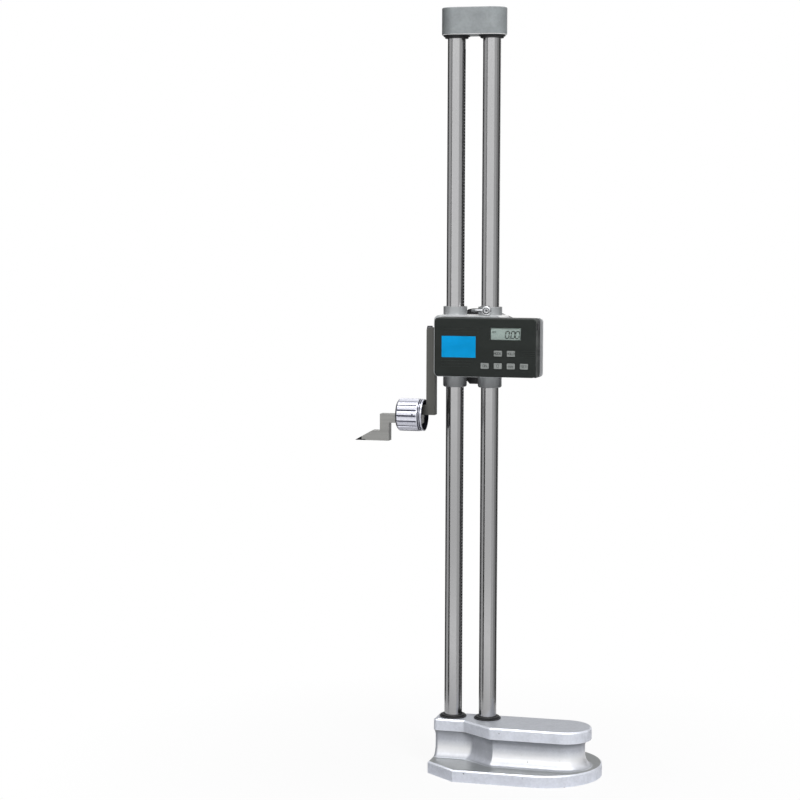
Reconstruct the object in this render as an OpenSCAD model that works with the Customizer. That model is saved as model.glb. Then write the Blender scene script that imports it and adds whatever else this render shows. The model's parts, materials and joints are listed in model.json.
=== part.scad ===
// Digital height gauge on two columns, drawn with its scriber part of the way up.
// Millimetres. The origin lies on the underside of the base, midway between the columns.
// X runs along the base to its round end, Y to the back and Z up.

/* [Range] */
// Measuring range of the scriber's edge above the surface plate
travel = 600; // [200:10:800]
// Height at which the scriber's edge is drawn
tip_z = 335.2; // [120:0.2:480]

/* [Base] */
// Height of the base casting
base_h = 52; // [46:1:70]
// Length of the foot plate
foot_len = 172; // [162:1:220]
// Radius of the foot plate's round end, which is half its depth
foot_r = 60.5; // [56:0.5:75]
// Thickness of the foot plate
foot_t = 12; // [9:0.5:14]
// Reach of the foot plate to the left of the column midpoint
foot_left = 36; // [35.5:0.5:45]
// Thickness of the cap at the top of the base
cap_t = 11.7; // [9:0.1:14]
// Depth of the waist under the wide end of the cap
waist_in = 6.5; // [4:0.5:8]
// Depth of the waist under the narrow end of the cap
waist_in_narrow = 2; // [1:0.25:3]

/* [Columns] */
// Diameter of a column
col_d = 18; // [17:0.5:19]
// Distance between the column axes
col_pitch = 36; // [35.5:0.5:38]
// Width of the groove along the inner side of a column
groove_w = 6; // [5:0.25:6.5]
// Depth of a column in its socket in the base
socket_low = 30; // [20:1:36]
// Height of the block that ties the columns at the top
bridge_h = 27; // [24:1:36]
// Radius of the block's round ends
bridge_r = 14.9; // [14:0.1:17]
// Thickness of the lower bumper rings
ring_low_t = 2.6; // [2:0.1:3]
// Thickness of the upper bumper rings
ring_up_t = 3; // [2:0.1:4]
// Outer diameter of the bumper rings
ring_d = 27.5; // [25:0.5:28]

/* [Slider] */
// Width of the slider casting
slider_w = 70.2; // [70:0.2:76]
// Height of the slider casting between its collars
slider_h = 61.5; // [60:0.5:66]
// Reach of the slider casting in front of the columns
slider_front = 20; // [18:0.5:24]
// Reach of the slider casting behind the columns
slider_back = 15; // [14:0.5:18]
// Height of the upper collars
collar_up = 8.4; // [8:0.2:12]
// Height of the lower collars
collar_low = 11.4; // [8:0.2:14]
// Outer diameter of the collars
collar_d = 24; // [23.8:0.1:24.6]
// Wall of a guide bush
bush_wall = 1.6; // [1.2:0.1:1.8]
// Length of a guide bush
bush_len = 20; // [14:1:22]

/* [Display] */
// Width of the black housing
disp_w = 102.4; // [100:0.2:110]
// Height of the black housing
disp_h = 58; // [56:0.2:60]
// Depth of the black housing
disp_depth = 21; // [20:0.5:26]
// Wall of the black housing
disp_wall = 2; // [1.6:0.1:2.4]
// Thickness of the display's mounting plate
plate_t = 3; // [2.5:0.25:4]
// Width of a key
key_w = 8; // [6:0.1:9]
// Height of a key
key_h = 5.6; // [5:0.1:7]
// Travel of a key
key_travel = 0.6; // [0.4:0.05:0.7]
// Diameter of the coin cell
cell_d = 20; // [16:0.5:20]
// Thickness of the coin cell
cell_t = 3.2; // [2:0.1:3.2]

/* [Jaw and scriber] */
// Thickness of the jaw arm and scriber from front to back
bar_t = 10; // [8:0.2:11]
// Width of the upright part of the jaw arm
arm_w = 8.8; // [8:0.1:10]
// Height of the scriber from its edge to the top of its shank
scriber_h = 27.4; // [26:0.2:34]
// Height of the scriber's shank
shank_h = 9; // [8:0.1:10]
// Reach of the scriber's edge from the column midpoint
tip_reach = 118; // [114:1:130]
// Outer diameter of the fluted clamp ring
knob_d = 33; // [32.6:0.1:36]
// Number of flutes on the clamp ring
flute_count = 18; // [12:1:20]

/* [Feed] */
// Module of the racks and pinions
gear_module = 1; // [0.9:0.05:1.05]
// Number of teeth on a pinion
pinion_teeth = 16; // [15:1:17]
// Diameter of the feed handwheel
wheel_d = 42; // [36:1:46]

/* [Hidden] */

$fn = 64;
overrun = 1;
slice = 0.01;
seat_gap = 0.02;
run_gap = 0.03;
slide_gap = 0.1;

// Heights that follow from the range
col_r = col_d / 2;
col_x = col_pitch / 2;
low_gap = 1;
up_gap = 1.9;
slider_rise = base_h + ring_low_t + low_gap + collar_low;
slider_z = tip_z + slider_rise;
slider_top = slider_z + slider_h;
bridge_z = travel + slider_rise + slider_h + collar_up + up_gap + ring_up_t;
bridge_socket = 18;
col_z0 = base_h - socket_low;
col_z1 = bridge_z + bridge_socket;

// Lip of the bumper rings
ring_lip_in = 1.6;
ring_up_in = 0.9;

// Base casting
foot_y = -1.2;
foot_edge = 1.2;
foot_chamfer_x = 32;
foot_chamfer_y = 27;
foot_fillet = 1.5;
foot_cx = foot_len - foot_left - foot_r;
cap_left_in = 1.2;
cap_left = foot_left - cap_left_in;
cap_right_in = 8.5;
cap_right = foot_len - foot_left - cap_right_in;
cap_back = 15.3;
cap_back_step = 0.2;
cap_front = 17.4;
cap_front_wide = 41;
cap_step_x0 = -2.5;
cap_step_x1 = 29.2;
cap_edge = 1.5;
cap_lip = 0.6;
cap_corner_r = 4;
cap_step_in_r = 4.5;
cap_step_out_r = 7;
cap_end_share = 0.97;
waist_up_h = 7;
waist_low_h = 14.5;
waist_flare = 3.5;
waist_in_left = 1.45;
waist_flare_left = foot_edge - cap_left_in;
waist_back_in = 4;
waist_back_len = 14;
waist_back_x0 = col_x + col_r + waist_back_in;
waist_back_x1 = waist_back_x0 + waist_back_len;
waist_steps = 5;

// Column screws and bridge screws
low_screw_r = 4;
low_head_r = 6.5;
low_head_h = 8;
low_head_deep = 0.8;
low_screw_len = 34;
up_screw_r = 3;
up_head_r = 5;
up_head_h = 6;
up_head_deep = 0.5;
up_screw_len = 26;
screw_gap = 0.4;
thread_gap = 0.02;
hex_share = 0.48;
hex_deep_share = 0.55;

// Grooves and racks
groove_top_gap = 10.5;
rack_top_gap = 29.2;
rack_side_gap = 0.05;
rack_tip_in = 0.6;
rack_back = 1.4;
rack_addendum = 0.85 * gear_module;
rack_dedendum = 1.15 * gear_module;
rack_backlash = 0.12;
pressure_angle = 20;
tooth_pitch = PI * gear_module;
pitch_line = col_r - rack_tip_in - rack_addendum;
groove_floor = pitch_line - rack_dedendum - rack_back;
pinion_r = gear_module * pinion_teeth / 2;
pinion_tip_r = pinion_r + 0.9 * gear_module;
pinion_root_r = pinion_r - 1.2 * gear_module;
pinion_base_r = pinion_r * cos(pressure_angle);
pinion_x = col_x - pitch_line - pinion_r - seat_gap;
pinion_side = 0.5;
pinion_w = groove_w - 2 * pinion_side;
pinion_hub_wall = 2;
pinion_hub_len = 4;
feed_rise = 20.8;
meter_rise = 39.8;
feed_z = slider_z + feed_rise;
meter_z = slider_z + meter_rise;
rack_low_gap = 4;
rack_z0 = base_h + ring_low_t + rack_low_gap;
rack_z1 = bridge_z - ring_up_t - rack_top_gap;

// Slider casting
slider_r = 5;
collar_rim = 2;
bush_r = col_r + run_gap;
bush_out_r = bush_r + bush_wall;
bush_in = 0.5;
pocket_w = 25;
pocket_rise = 9.8;
pocket_h = 41;
pocket_z0 = slider_z + pocket_rise;
pocket_z1 = pocket_z0 + pocket_h;
pocket_front = 6;
lock_x = col_x;
lock_rise = 5;
lock_z = slider_top + lock_rise;
lock_boss_r = 4;
lock_boss_out = 1.6;
lock_hole_r = 2.5;

// Display plate and housing
disp_left = 28.7;
disp_rise = 2.3;
disp_x0 = -disp_left;
disp_x1 = disp_x0 + disp_w;
disp_z0 = slider_z + disp_rise;
disp_z1 = disp_z0 + disp_h;
plate_y1 = -slider_front;
plate_y0 = plate_y1 - plate_t;
disp_y1 = plate_y0;
disp_y0 = disp_y1 - disp_depth;
disp_in_y = disp_y0 + disp_wall;
disp_r = 3.8;
disp_edge = 0.9;
plate_left = 32.3;
plate_right_out = 2.5;
plate_low_out = 0.6;
plate_r = 4;
line_w = 0.8;
line_deep = 0.6;
line_shares = [0.0664, 0.3193, 0.2724];
line_up_shares = [0.0957, 0.3477, 0.769];
line_x0 = disp_x0 + disp_w * line_shares[0];
line_len = disp_w * line_shares[1];
line_low_z = disp_z0 + disp_h * line_shares[2];
line_up_x0 = disp_x0 + disp_w * line_up_shares[0];
line_up_len = disp_w * line_up_shares[1];
line_up_z = disp_z0 + disp_h * line_up_shares[2];
line_pitch = 2.9;
line_shorter = 2.4;
grip_len = 16;
grip_share = 0.357;
grip_x0 = disp_x1 - grip_len;
grip_z = disp_z0 + disp_h * grip_share;
grip_pitch = 1.9;
grip_count = 4;
grip_w = 0.7;

// LCD, nameplate and keys
// Places and sizes as shares of the housing's width and height
lcd_shares = [0.5527, 0.631, 0.3027, 0.2121];
name_shares = [0.0732, 0.3259, 0.3359, 0.3638];
key_shares = [0.502, 0.1914, 0.1279, 0.2138];
lcd_x0 = disp_x0 + disp_w * lcd_shares[0];
lcd_z0 = disp_z0 + disp_h * lcd_shares[1];
lcd_w = disp_w * lcd_shares[2];
lcd_h = disp_h * lcd_shares[3];
lcd_lip = 0.4;
lcd_t = 1;
lcd_deep = 0.3;
lcd_frame = 3;
name_x0 = disp_x0 + disp_w * name_shares[0];
name_z0 = disp_z0 + disp_h * name_shares[1];
name_w = disp_w * name_shares[2];
name_h = disp_h * name_shares[3];
name_t = 0.8;
name_out = 0.3;
key_x0 = disp_x0 + disp_w * key_shares[0];
key_z0 = disp_z0 + disp_h * key_shares[1];
key_pitch_x = disp_w * key_shares[2];
key_pitch_z = disp_h * key_shares[3];
key_cols = [1, 2, 0, 1, 2, 3];
key_rows = [1, 1, 0, 0, 0, 0];
key_gap = 0.15;
key_out = 1;
key_corner = 0.8;
key_flange = 0.8;
key_flange_t = 0.8;
key_rest = 0.05;
mat_t = 1;
mat_y0 = disp_in_y + slide_gap + key_flange_t + key_travel + key_rest;
mat_margin = 6;
pcb_t = 1.6;
pcb_y0 = mat_y0 + mat_t;
pcb_y1 = pcb_y0 + pcb_t;
pcb_inset = 1;

// Battery, its door and the data socket
chip_w = 9;
cell_in = 1.4;
cell_share = 0.3017;
cell_x = disp_x1 - disp_wall - cell_d / 2 - cell_in;
cell_z = disp_z0 + disp_h * cell_share;
cell_gap = 0.15;
cell_rim = 0.4;
cell_rise = 2.4;
cell_y0 = pcb_y1 + cell_rise;
cell_y1 = cell_y0 + cell_t;
holder_wall = 1.2;
contact_t = 0.3;
contact_w = 5;
contact_len = 12;
door_share = 0.5345;
door_in = 1.4;
door_back_in = 2;
door_z1 = disp_z0 + disp_h * door_share;
door_y0 = disp_in_y + door_in;
door_y1 = disp_y1 - door_back_in;
door_gap = 0.15;
door_tongue = 0.9;
door_tongue_t = 0.9;
cover_in = 4;
cover_h = 7;
cover_y0 = disp_in_y + cover_in;
cover_w = 8;
cover_out = 0.6;
cover_t = 1.2;
socket_len = 8;
socket_wall = 0.8;
cover_plug_wall = 0.9;

// Screws of the display
post_r = 2.6;
post_in_x = 5.5;
post_in_z = 3.4;
cover_z0 = disp_z1 - post_in_z - post_r - slide_gap - (cover_h - 2 * socket_wall);
small_r = 1.25;
small_head_r = 2.4;
small_head_h = 1.5;
mount_r = 2;
mount_head_r = 3.8;
mount_head_h = 2;
mount_len = 11;
mount_x = 27;
mount_z = 17;
housing_screw_in = 8;
bearing_screw_in = 3;
bearing_screw_inset = 2.5;
bearing_r = 2;

// Jaw arm and scriber
arm_x1 = -slider_w / 2;
arm_x0 = arm_x1 - arm_w;
bar_y0 = -16;
bar_y1 = bar_y0 + bar_t;
bar_y = (bar_y0 + bar_y1) / 2;
arm_rise = 48.7;
arm_top = slider_z + arm_rise;
arm_chamfer = 2;
seat_z = tip_z + scriber_h + seat_gap;
leg_h = 10;
knob_len = 27.4;
knob_gap = 2.6;
knob_x1 = arm_x0 - knob_gap;
knob_x0 = knob_x1 - knob_len;
leg_in = 1.9;
leg_x0 = knob_x0 + leg_in;
arm_screw_r = 2.5;
arm_head_r = 4.2;
arm_head_h = 4.6;
arm_screw_len = 12;
arm_screw_share = [0.22, 0.75];
shank_in = 2;
shank_end = knob_x1 - shank_in;
web_gap = 8.9;
web_x1 = knob_x0 - web_gap;
web_w = 9.6;
foot_top = 10.2;
foot_run = tip_reach + web_x1 - web_w;
foot_run_shares = [0.3203, 0.2461, 0.1563, 0.5469];
foot_toe = foot_run * foot_run_shares[0];
toe_len = foot_run * foot_run_shares[1];
toe_x = tip_reach - toe_len;
tip_h = 0.35;
slope_len = foot_run - foot_toe;
toe_h = tip_h + (foot_top - tip_h) * toe_len / slope_len;
tip_seat = foot_run * foot_run_shares[2];
tip_seat_h = 0.9;
tip_width = 4;
tip_bevel_len = foot_run * foot_run_shares[3];

// Scriber clamp
clamp_drop = 0.6;
clamp_z = seat_z - clamp_drop;
core_r = 14;
core_in_left = 0.9;
core_in_right = 4;
core_x0 = knob_x0 + core_in_left;
core_x1 = knob_x1 - core_in_right;
ring_fit = 0.06;
ring_in_r = core_r + ring_fit;
ring_lip_r = 13.3;
recess_r = 15.1;
clip_t = 0.8;
recess_x = core_x1 - 2 * clip_t;
clip_r = 14.8;
clip_in_r = 13.2;
clip_gap_w = 5;
cam_out = 0.5;
pin_r = 2.5;
pin_x = (core_x0 + core_x1) / 2;
pin_low = core_r + cam_out;
pin_lift = 0.3;
pin_dome_r = 6;
cam_w = 6;
flute_len_share = 0.77;
flute_r = 1.05;
flute_out = 0.25;
knob_bevel = 2.4;
knob_band = 2.8;
knob_groove = 3.2;
knob_groove_deep = 0.7;
knob_rim_r = 16.3;
knob_rim_w = 1.4;
knob_rim_edge = 0.3;
hole_r = 0.8;
hole_deep = 1.5;

// Bearings, shafts and rear cover
bearing_y0 = slider_back;
bearing_t = 3;
bearing_w = 32;
bearing_out = 5;
bearing_z0 = pocket_z0 - bearing_out;
bearing_z1 = pocket_z1 + bearing_out;
shaft_r = 3;
meter_shaft_r = 2.5;
journal_deep = 8;
shaft_bush_wall = 1.4;
journal_end_gap = 0.5;
shaft_y0 = -pocket_front - journal_deep + journal_end_gap;
rear_bush_out = 1.5;
rear_bush_end = bearing_y0 + bearing_t + rear_bush_out;
rear_depth = 21;
cover_y1 = slider_back + rear_depth;
rear_gap = 0.4;
rear_wall = 2;
rear_top_rise = 4.9;
rear_low_drop = 9.5;
rear_top = slider_top + rear_top_rise;
rear_low = slider_z - rear_low_drop;
rear_left = -27;
rear_right = 38;
rear_top_x0 = -8;
rear_top_x1 = 11;
rear_top_drop = 10.5;
rear_low_x0 = -6.2;
rear_low_x1 = 13;
rear_low_rise = 14.3;
rear_post_r = 3;
rear_post_shares = [[0.092, 0.309], [0.092, 0.65], [0.9, 0.325], [0.9, 0.813]];
rear_posts = [for (p = rear_post_shares) [rear_left + (rear_right - rear_left) * p[0], slider_h * p[1]]];
rear_screw_r = 1.5;
rear_head_r = 2.8;
rear_head_h = 1.7;
rear_screw_in = 3.6;
disc_r = 15;
disc_t = 1.2;
disc_in = 13.5;
disc_y = cover_y1 - disc_in;
disc_hub_r = 4;
disc_hub_l = 5;
board_t = 1.6;
board_in = 6.6;
board_y0 = cover_y1 - rear_wall - board_in;
board_w = 32;
board_margin = 3.5;
board_hole_gap = 1;
board_screw_inset = 2;
reader_w = 9;
reader_h = 6;
reader_in = 0.5;
wheel_gap = 2.5;
wheel_y0 = cover_y1 + wheel_gap;
wheel_w = 14;
wheel_edge = 1.5;
wheel_boss_r = 7;
wheel_boss_gap = 0.6;
wheel_screw_r = 5;
wheel_scallops = 24;
wheel_scallop_r = 2.2;
wheel_dish = 3;
wheel_dish_r = 14;

// Lock lever
lever_gap = 0.5;
lever_t = 5;
lever_y1 = -collar_d / 2 - lock_boss_out - lever_gap;
lever_y0 = lever_y1 - lever_t;
lever_hub_r = 4.6;
lever_len = 14.8;
lever_root_r = 2.2;
lever_tip_r = 1.2;
lever_round = 1.4;
lock_head_r = 2.9;
lock_head_deep = 1;
pad_t = 1.4;
pad_gap = 0.25;
pad_y1 = -col_r - pad_gap;
pad_y0 = pad_y1 - pad_t;

// A flat outline in X and Z, from y0 to y1
module plate_xz(y0, y1) {
  translate([0, y1, 0]) rotate([90, 0, 0]) linear_extrude(height = y1 - y0) children();
}

// A flat outline in Y and Z, from x0 to x1
module plate_yz(x0, x1) {
  translate([x0, 0, 0]) rotate([90, 0, 90]) linear_extrude(height = x1 - x0) children();
}

// A round bar along Y
module bar_along_y(x, z, r, y0, y1) {
  translate([x, y1, z]) rotate([90, 0, 0]) cylinder(r = r, h = y1 - y0);
}

// A round bar along X
module bar_along_x(y, z, r, x0, x1) {
  translate([x0, y, z]) rotate([0, 90, 0]) cylinder(r = r, h = x1 - x0);
}

// A rectangle with round corners
module round_rect(x0, x1, z0, z1, r) {
  translate([x0 + r, z0]) square([x1 - x0 - 2 * r, z1 - z0]);
  translate([x0, z0 + r]) square([x1 - x0, z1 - z0 - 2 * r]);
  for (x = [x0 + r, x1 - r], z = [z0 + r, z1 - r]) translate([x, z]) circle(r = r);
}

module box(x0, x1, y0, y1, z0, z1) {
  translate([x0, y0, z0]) cube([x1 - x0, y1 - y0, z1 - z0]);
}

// A hexagon socket, as a cutter that points along +Z
module hex_socket(head_r, head_h) {
  translate([0, 0, -overrun])
    cylinder(r = head_r * hex_share / cos(30), h = head_h * hex_deep_share + overrun, $fn = 6);
}

// A socket-head screw with its head at the origin and its shank along +Z
module socket_screw(r, len, head_r, head_h) {
  difference() {
    union() {
      cylinder(r = head_r, h = head_h);
      translate([0, 0, head_h]) cylinder(r = r, h = len - head_h);
    }
    hex_socket(head_r, head_h);
  }
}

// A countersunk screw with its head's face at the origin and its shank along +Z
module flat_screw(r, len, head_r, head_h) {
  difference() {
    union() {
      cylinder(r1 = head_r, r2 = r, h = head_h);
      cylinder(r = r, h = len);
    }
    hex_socket(head_r, head_h);
  }
}

// The hole that a countersunk screw needs
module flat_screw_hole(r, len, head_r, head_h) {
  translate([0, 0, -slice]) cylinder(r1 = head_r + seat_gap, r2 = r + seat_gap, h = head_h + slice);
  translate([0, 0, -overrun]) cylinder(r = r + seat_gap, h = len + overrun);
}

// Points of the arc that rounds corner b between a and c
function unit(v) = v / norm(v);
function fillet(a, b, c, r, n) =
  let (
    u = unit(a - b),
    w = unit(c - b),
    half = acos(u * w) / 2,
    centre = b + unit(u + w) * r / sin(half),
    p0 = b + u * r / tan(half) - centre,
    turn = (b - a)[0] * (c - b)[1] - (b - a)[1] * (c - b)[0] > 0 ? 1 : -1,
    start = atan2(p0[1], p0[0]),
    sweep = turn * (180 - 2 * half)
  )
  [for (i = [0:n]) centre + r * [cos(start + sweep * i / n), sin(start + sweep * i / n)]];

// Outline of the base's upper part, drawn in by wide, narrow and left
step_run = [cap_step_x1 - cap_step_x0, cap_front - cap_front_wide];
step_out = unit([step_run[1], -step_run[0]]);
function step_x(y, wide) = (step_out * [cap_step_x0, -cap_front] - wide - step_out[1] * y) / step_out[0];
function ease(t) = t * t * (3 - 2 * t);
function cap_path(wide, narrow, left) =
  let (
    yf = -cap_front + narrow,
    yw = -cap_front_wide + wide,
    yb = cap_back - cap_back_step - narrow,
    yc = cap_back - wide,
    x0 = -cap_left + left,
    x1 = cap_right - wide,
    end_r = (yc - yw) / 2 * cap_end_share,
    a = [x0, yb],
    b = [x0, yf],
    c = [step_x(yf, wide), yf],
    d = [step_x(yw, wide), yw],
    e = [x1, yw],
    f = [x1, yc]
  )
  concat(
    fillet([0, yb], a, b, cap_corner_r, 4),
    fillet(a, b, c, cap_corner_r, 4),
    fillet(b, c, d, max(cap_step_in_r + wide, cap_lip), 6),
    fillet(c, d, e, max(cap_step_out_r - wide, cap_lip), 8),
    fillet(d, e, f, end_r, 12),
    fillet(e, f, [0, yc], end_r, 12),
    [for (i = [0:waist_steps])
      let (t = i / waist_steps)
      [waist_back_x1 + (waist_back_x0 - waist_back_x1) * t, yc + (yb - yc) * ease(t)]]
  );

// A closed solid through rings of as many points, each [z, outline]
module loft(rings) {
  n = len(rings[0][1]);
  m = len(rings);
  pts = [for (ring = rings, p = ring[1]) [p[0], p[1], ring[0]]];
  sides = [for (j = [0:m - 2], i = [0:n - 1])
    let (k = (i + 1) % n, a = j * n + i, b = j * n + k, c = a + n, d = b + n)
    each [[a, c, b], [b, c, d]]];
  polyhedron(points = pts, faces = concat(
    [[for (i = [0:n - 1]) i]],
    sides,
    [[for (i = [n - 1:-1:0]) (m - 1) * n + i]]
  ));
}

module foot_outline(edge) {
  x0 = -foot_left + edge;
  xc = x0 + foot_chamfer_x;
  yr = foot_r - edge;
  ys = yr - foot_chamfer_y;
  translate([foot_cx, foot_y]) circle(r = yr);
  translate([0, foot_y]) polygon([
    [x0, -ys], [xc, -yr], [foot_cx, -yr], [foot_cx, yr], [xc, yr], [x0, ys]
  ]);
}

waist_z1 = base_h - cap_t;
base_rings = concat(
  [for (i = [0:waist_steps])
    let (a = 90 * i / waist_steps, s = sin(a))
    [foot_t + waist_low_h * (1 - cos(a)), cap_path(
      -waist_flare + (waist_in + waist_flare) * s,
      -waist_flare + (waist_in_narrow + waist_flare) * s,
      waist_flare_left + (waist_in_left - waist_flare_left) * s)]],
  [for (i = [0:waist_steps])
    let (a = 90 * i / waist_steps, k = cos(a))
    [waist_z1 - waist_up_h + waist_up_h * sin(a),
      cap_path(waist_in * k, waist_in_narrow * k, waist_in_left * k)]],
  [[waist_z1 + cap_lip, cap_path(0, 0, 0)],
    [base_h - cap_edge, cap_path(0, 0, 0)],
    [base_h - cap_edge * 0.3, cap_path(cap_edge * 0.3, cap_edge * 0.3, cap_edge * 0.3)],
    [base_h, cap_path(cap_edge, cap_edge, cap_edge)]]
);

module column_sites() {
  for (side = [-1, 1]) translate([side * col_x, 0, 0]) children();
}

module base_casting() {
  color([0.78, 0.79, 0.81]) difference() {
    union() {
      linear_extrude(height = foot_t - foot_edge) foot_outline(0);
      hull() {
        translate([0, 0, foot_t - foot_edge - slice]) linear_extrude(height = slice) foot_outline(0);
        translate([0, 0, foot_t - slice]) linear_extrude(height = slice) foot_outline(foot_edge);
      }
      loft(base_rings);
    }
    column_sites() {
      translate([0, 0, col_z0]) cylinder(r = col_r + seat_gap, h = socket_low + overrun);
      translate([0, 0, -overrun]) cylinder(r = low_screw_r + screw_gap, h = col_z0 + 2 * overrun);
      translate([0, 0, -overrun])
        cylinder(r = low_head_r + screw_gap, h = low_head_h + low_head_deep + overrun);
    }
  }
}

// A column on its own axis, with its groove towards +X
module column() {
  difference() {
    translate([0, 0, col_z0]) cylinder(r = col_r, h = col_z1 - col_z0);
    box(groove_floor, col_d, -groove_w / 2, groove_w / 2,
      base_h + ring_low_t / 2, bridge_z - ring_up_t - groove_top_gap);
    translate([0, 0, col_z0 - overrun])
      cylinder(r = low_screw_r + thread_gap, h = low_screw_len - col_z0 + 3 * overrun);
    translate([0, 0, bridge_z + bridge_h - up_screw_len - 2 * overrun])
      cylinder(r = up_screw_r + thread_gap, h = up_screw_len);
  }
}

module column_left() {
  color([0.72, 0.72, 0.74]) translate([-col_x, 0, 0]) column();
}

module column_right() {
  color([0.72, 0.72, 0.74]) translate([col_x, 0, 0]) mirror([1, 0, 0]) column();
}

// A rack on its column's axis, with a tooth space at height mesh_z
module rack(mesh_z) {
  half_tip = tooth_pitch / 4 - rack_addendum * tan(pressure_angle) - rack_backlash / 2;
  half_root = tooth_pitch / 4 + rack_dedendum * tan(pressure_angle) - rack_backlash / 2;
  first = ceil((rack_z0 + half_root - mesh_z) / tooth_pitch - 0.5);
  last = floor((rack_z1 - half_root - mesh_z) / tooth_pitch - 0.5);
  root_x = pitch_line - rack_dedendum;
  tip_x = pitch_line + rack_addendum;
  teeth = [for (i = [first:last])
    let (z = mesh_z + (i + 0.5) * tooth_pitch)
    each [[root_x, z - half_root], [tip_x, z - half_tip], [tip_x, z + half_tip], [root_x, z + half_root]]];
  plate_xz(-groove_w / 2 + rack_side_gap, groove_w / 2 - rack_side_gap)
    polygon(concat(
      [[groove_floor, rack_z0], [root_x, rack_z0]],
      teeth,
      [[root_x, rack_z1], [groove_floor, rack_z1]]
    ));
}

module feed_rack() {
  color([0.45, 0.45, 0.47]) translate([-col_x, 0, 0]) rack(feed_z);
}

module measuring_rack() {
  color([0.45, 0.45, 0.47]) translate([col_x, 0, 0]) mirror([1, 0, 0]) rack(meter_z);
}

// A bumper ring with its wide flange at the bottom, d across
module bumper_ring(t, d) {
  flange = t * 0.45;
  rim = flange * 0.35;
  lip_r = d / 2 - ring_lip_in;
  rotate_extrude() {
    translate([col_r + slide_gap, 0]) square([d / 2 - rim - col_r - slide_gap, flange]);
    translate([col_r + slide_gap, rim]) square([d / 2 - col_r - slide_gap, flange - 2 * rim]);
    for (z = [rim, flange - rim]) translate([d / 2 - rim, z]) circle(r = rim);
    translate([col_r + slide_gap, 0]) square([lip_r - rim - col_r - slide_gap, t]);
    translate([col_r + slide_gap, 0]) square([lip_r - col_r - slide_gap, t - rim]);
    translate([lip_r - rim, t - rim]) circle(r = rim);
  }
}

module lower_bumper_rings() {
  color([0.09, 0.09, 0.1]) column_sites() translate([0, 0, base_h]) bumper_ring(ring_low_t, ring_d);
}

module upper_bumper_rings() {
  color([0.09, 0.09, 0.1]) column_sites() translate([0, 0, bridge_z]) mirror([0, 0, 1])
    bumper_ring(ring_up_t, ring_d - ring_up_in);
}

bridge_edge = 1;
module bridge_profile(half) {
  translate([0, bridge_edge]) square([half, bridge_h - 2 * bridge_edge]);
  square([half - bridge_edge, bridge_h]);
  for (z = [bridge_edge, bridge_h - bridge_edge]) translate([half - bridge_edge, z]) circle(r = bridge_edge);
}

module top_bridge() {
  color([0.56, 0.6, 0.62]) difference() {
    translate([0, 0, bridge_z]) {
      column_sites() rotate_extrude() bridge_profile(bridge_r);
      plate_yz(-col_x, col_x) {
        bridge_profile(bridge_r);
        mirror([1, 0]) bridge_profile(bridge_r);
      }
    }
    column_sites() {
      translate([0, 0, bridge_z - overrun])
        cylinder(r = col_r + seat_gap, h = bridge_socket + overrun);
      translate([0, 0, bridge_z]) cylinder(r = up_screw_r + screw_gap, h = bridge_h + overrun);
      translate([0, 0, bridge_z + bridge_h - up_head_h - up_head_deep])
        cylinder(r = up_head_r + screw_gap, h = bridge_h);
    }
  }
}

module column_screws() {
  color([0.2, 0.2, 0.22]) column_sites() translate([0, 0, low_head_deep])
    socket_screw(low_screw_r, low_screw_len, low_head_r, low_head_h);
}

module bridge_screws() {
  color([0.2, 0.2, 0.22]) column_sites() translate([0, 0, bridge_z + bridge_h - up_head_deep])
    mirror([0, 0, 1]) socket_screw(up_screw_r, up_screw_len, up_head_r, up_head_h);
}

// The slider's parts
module collar_low_shape() {
  rotate_extrude() {
    square([collar_d / 2 - collar_rim, collar_low + overrun]);
    translate([0, collar_rim]) square([collar_d / 2, collar_low + overrun - collar_rim]);
    translate([collar_d / 2 - collar_rim, collar_rim]) circle(r = collar_rim);
  }
}

module slider_casting() {
  color([0.62, 0.64, 0.65]) difference() {
    union() {
      plate_xz(-slider_front, slider_back)
        round_rect(-slider_w / 2, slider_w / 2, slider_z, slider_top, slider_r);
      column_sites() {
        translate([0, 0, slider_z - collar_low]) collar_low_shape();
        translate([0, 0, slider_top - overrun]) cylinder(d = collar_d, h = collar_up + overrun);
      }
      bar_along_y(lock_x, lock_z, lock_boss_r, -collar_d / 2 - lock_boss_out, -bush_out_r - slide_gap);
    }
    column_sites() translate([0, 0, slider_z - collar_low - overrun])
      cylinder(r = bush_out_r, h = slider_h + collar_low + collar_up + 2 * overrun);
    box(-pocket_w / 2, pocket_w / 2, -pocket_front, slider_back + overrun, pocket_z0, pocket_z1);
    bar_along_y(-pinion_x, feed_z, shaft_r + run_gap + shaft_bush_wall,
      -pocket_front - journal_deep, -pocket_front + overrun);
    bar_along_y(pinion_x, meter_z, meter_shaft_r + run_gap + shaft_bush_wall,
      -pocket_front - journal_deep, -pocket_front + overrun);
    bar_along_y(lock_x, lock_z, lock_hole_r, -collar_d, -col_r);
    for (side = [-1, 1], share = [-1, 1])
      bar_along_y(side * mount_x, slider_z + slider_h / 2 + share * mount_z, mount_r + seat_gap,
        -slider_front - overrun, plate_y0 + mount_len + seat_gap);
    for (share = arm_screw_share)
      bar_along_x(bar_y, slider_z + arm_screw_share_z(share), arm_screw_r + thread_gap,
        arm_x1 - overrun, arm_x0 + arm_screw_len + seat_gap);
    for (post = rear_posts)
      bar_along_y(post[0], slider_z + post[1], rear_screw_r + thread_gap,
        slider_back - rear_screw_in, slider_back + overrun);
    bearing_screw_sites() rotate([90, 0, 0])
      cylinder(r = small_r + thread_gap, h = bearing_t + bearing_screw_in);
  }
}
function arm_screw_share_z(share) = share * slider_h;

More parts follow.
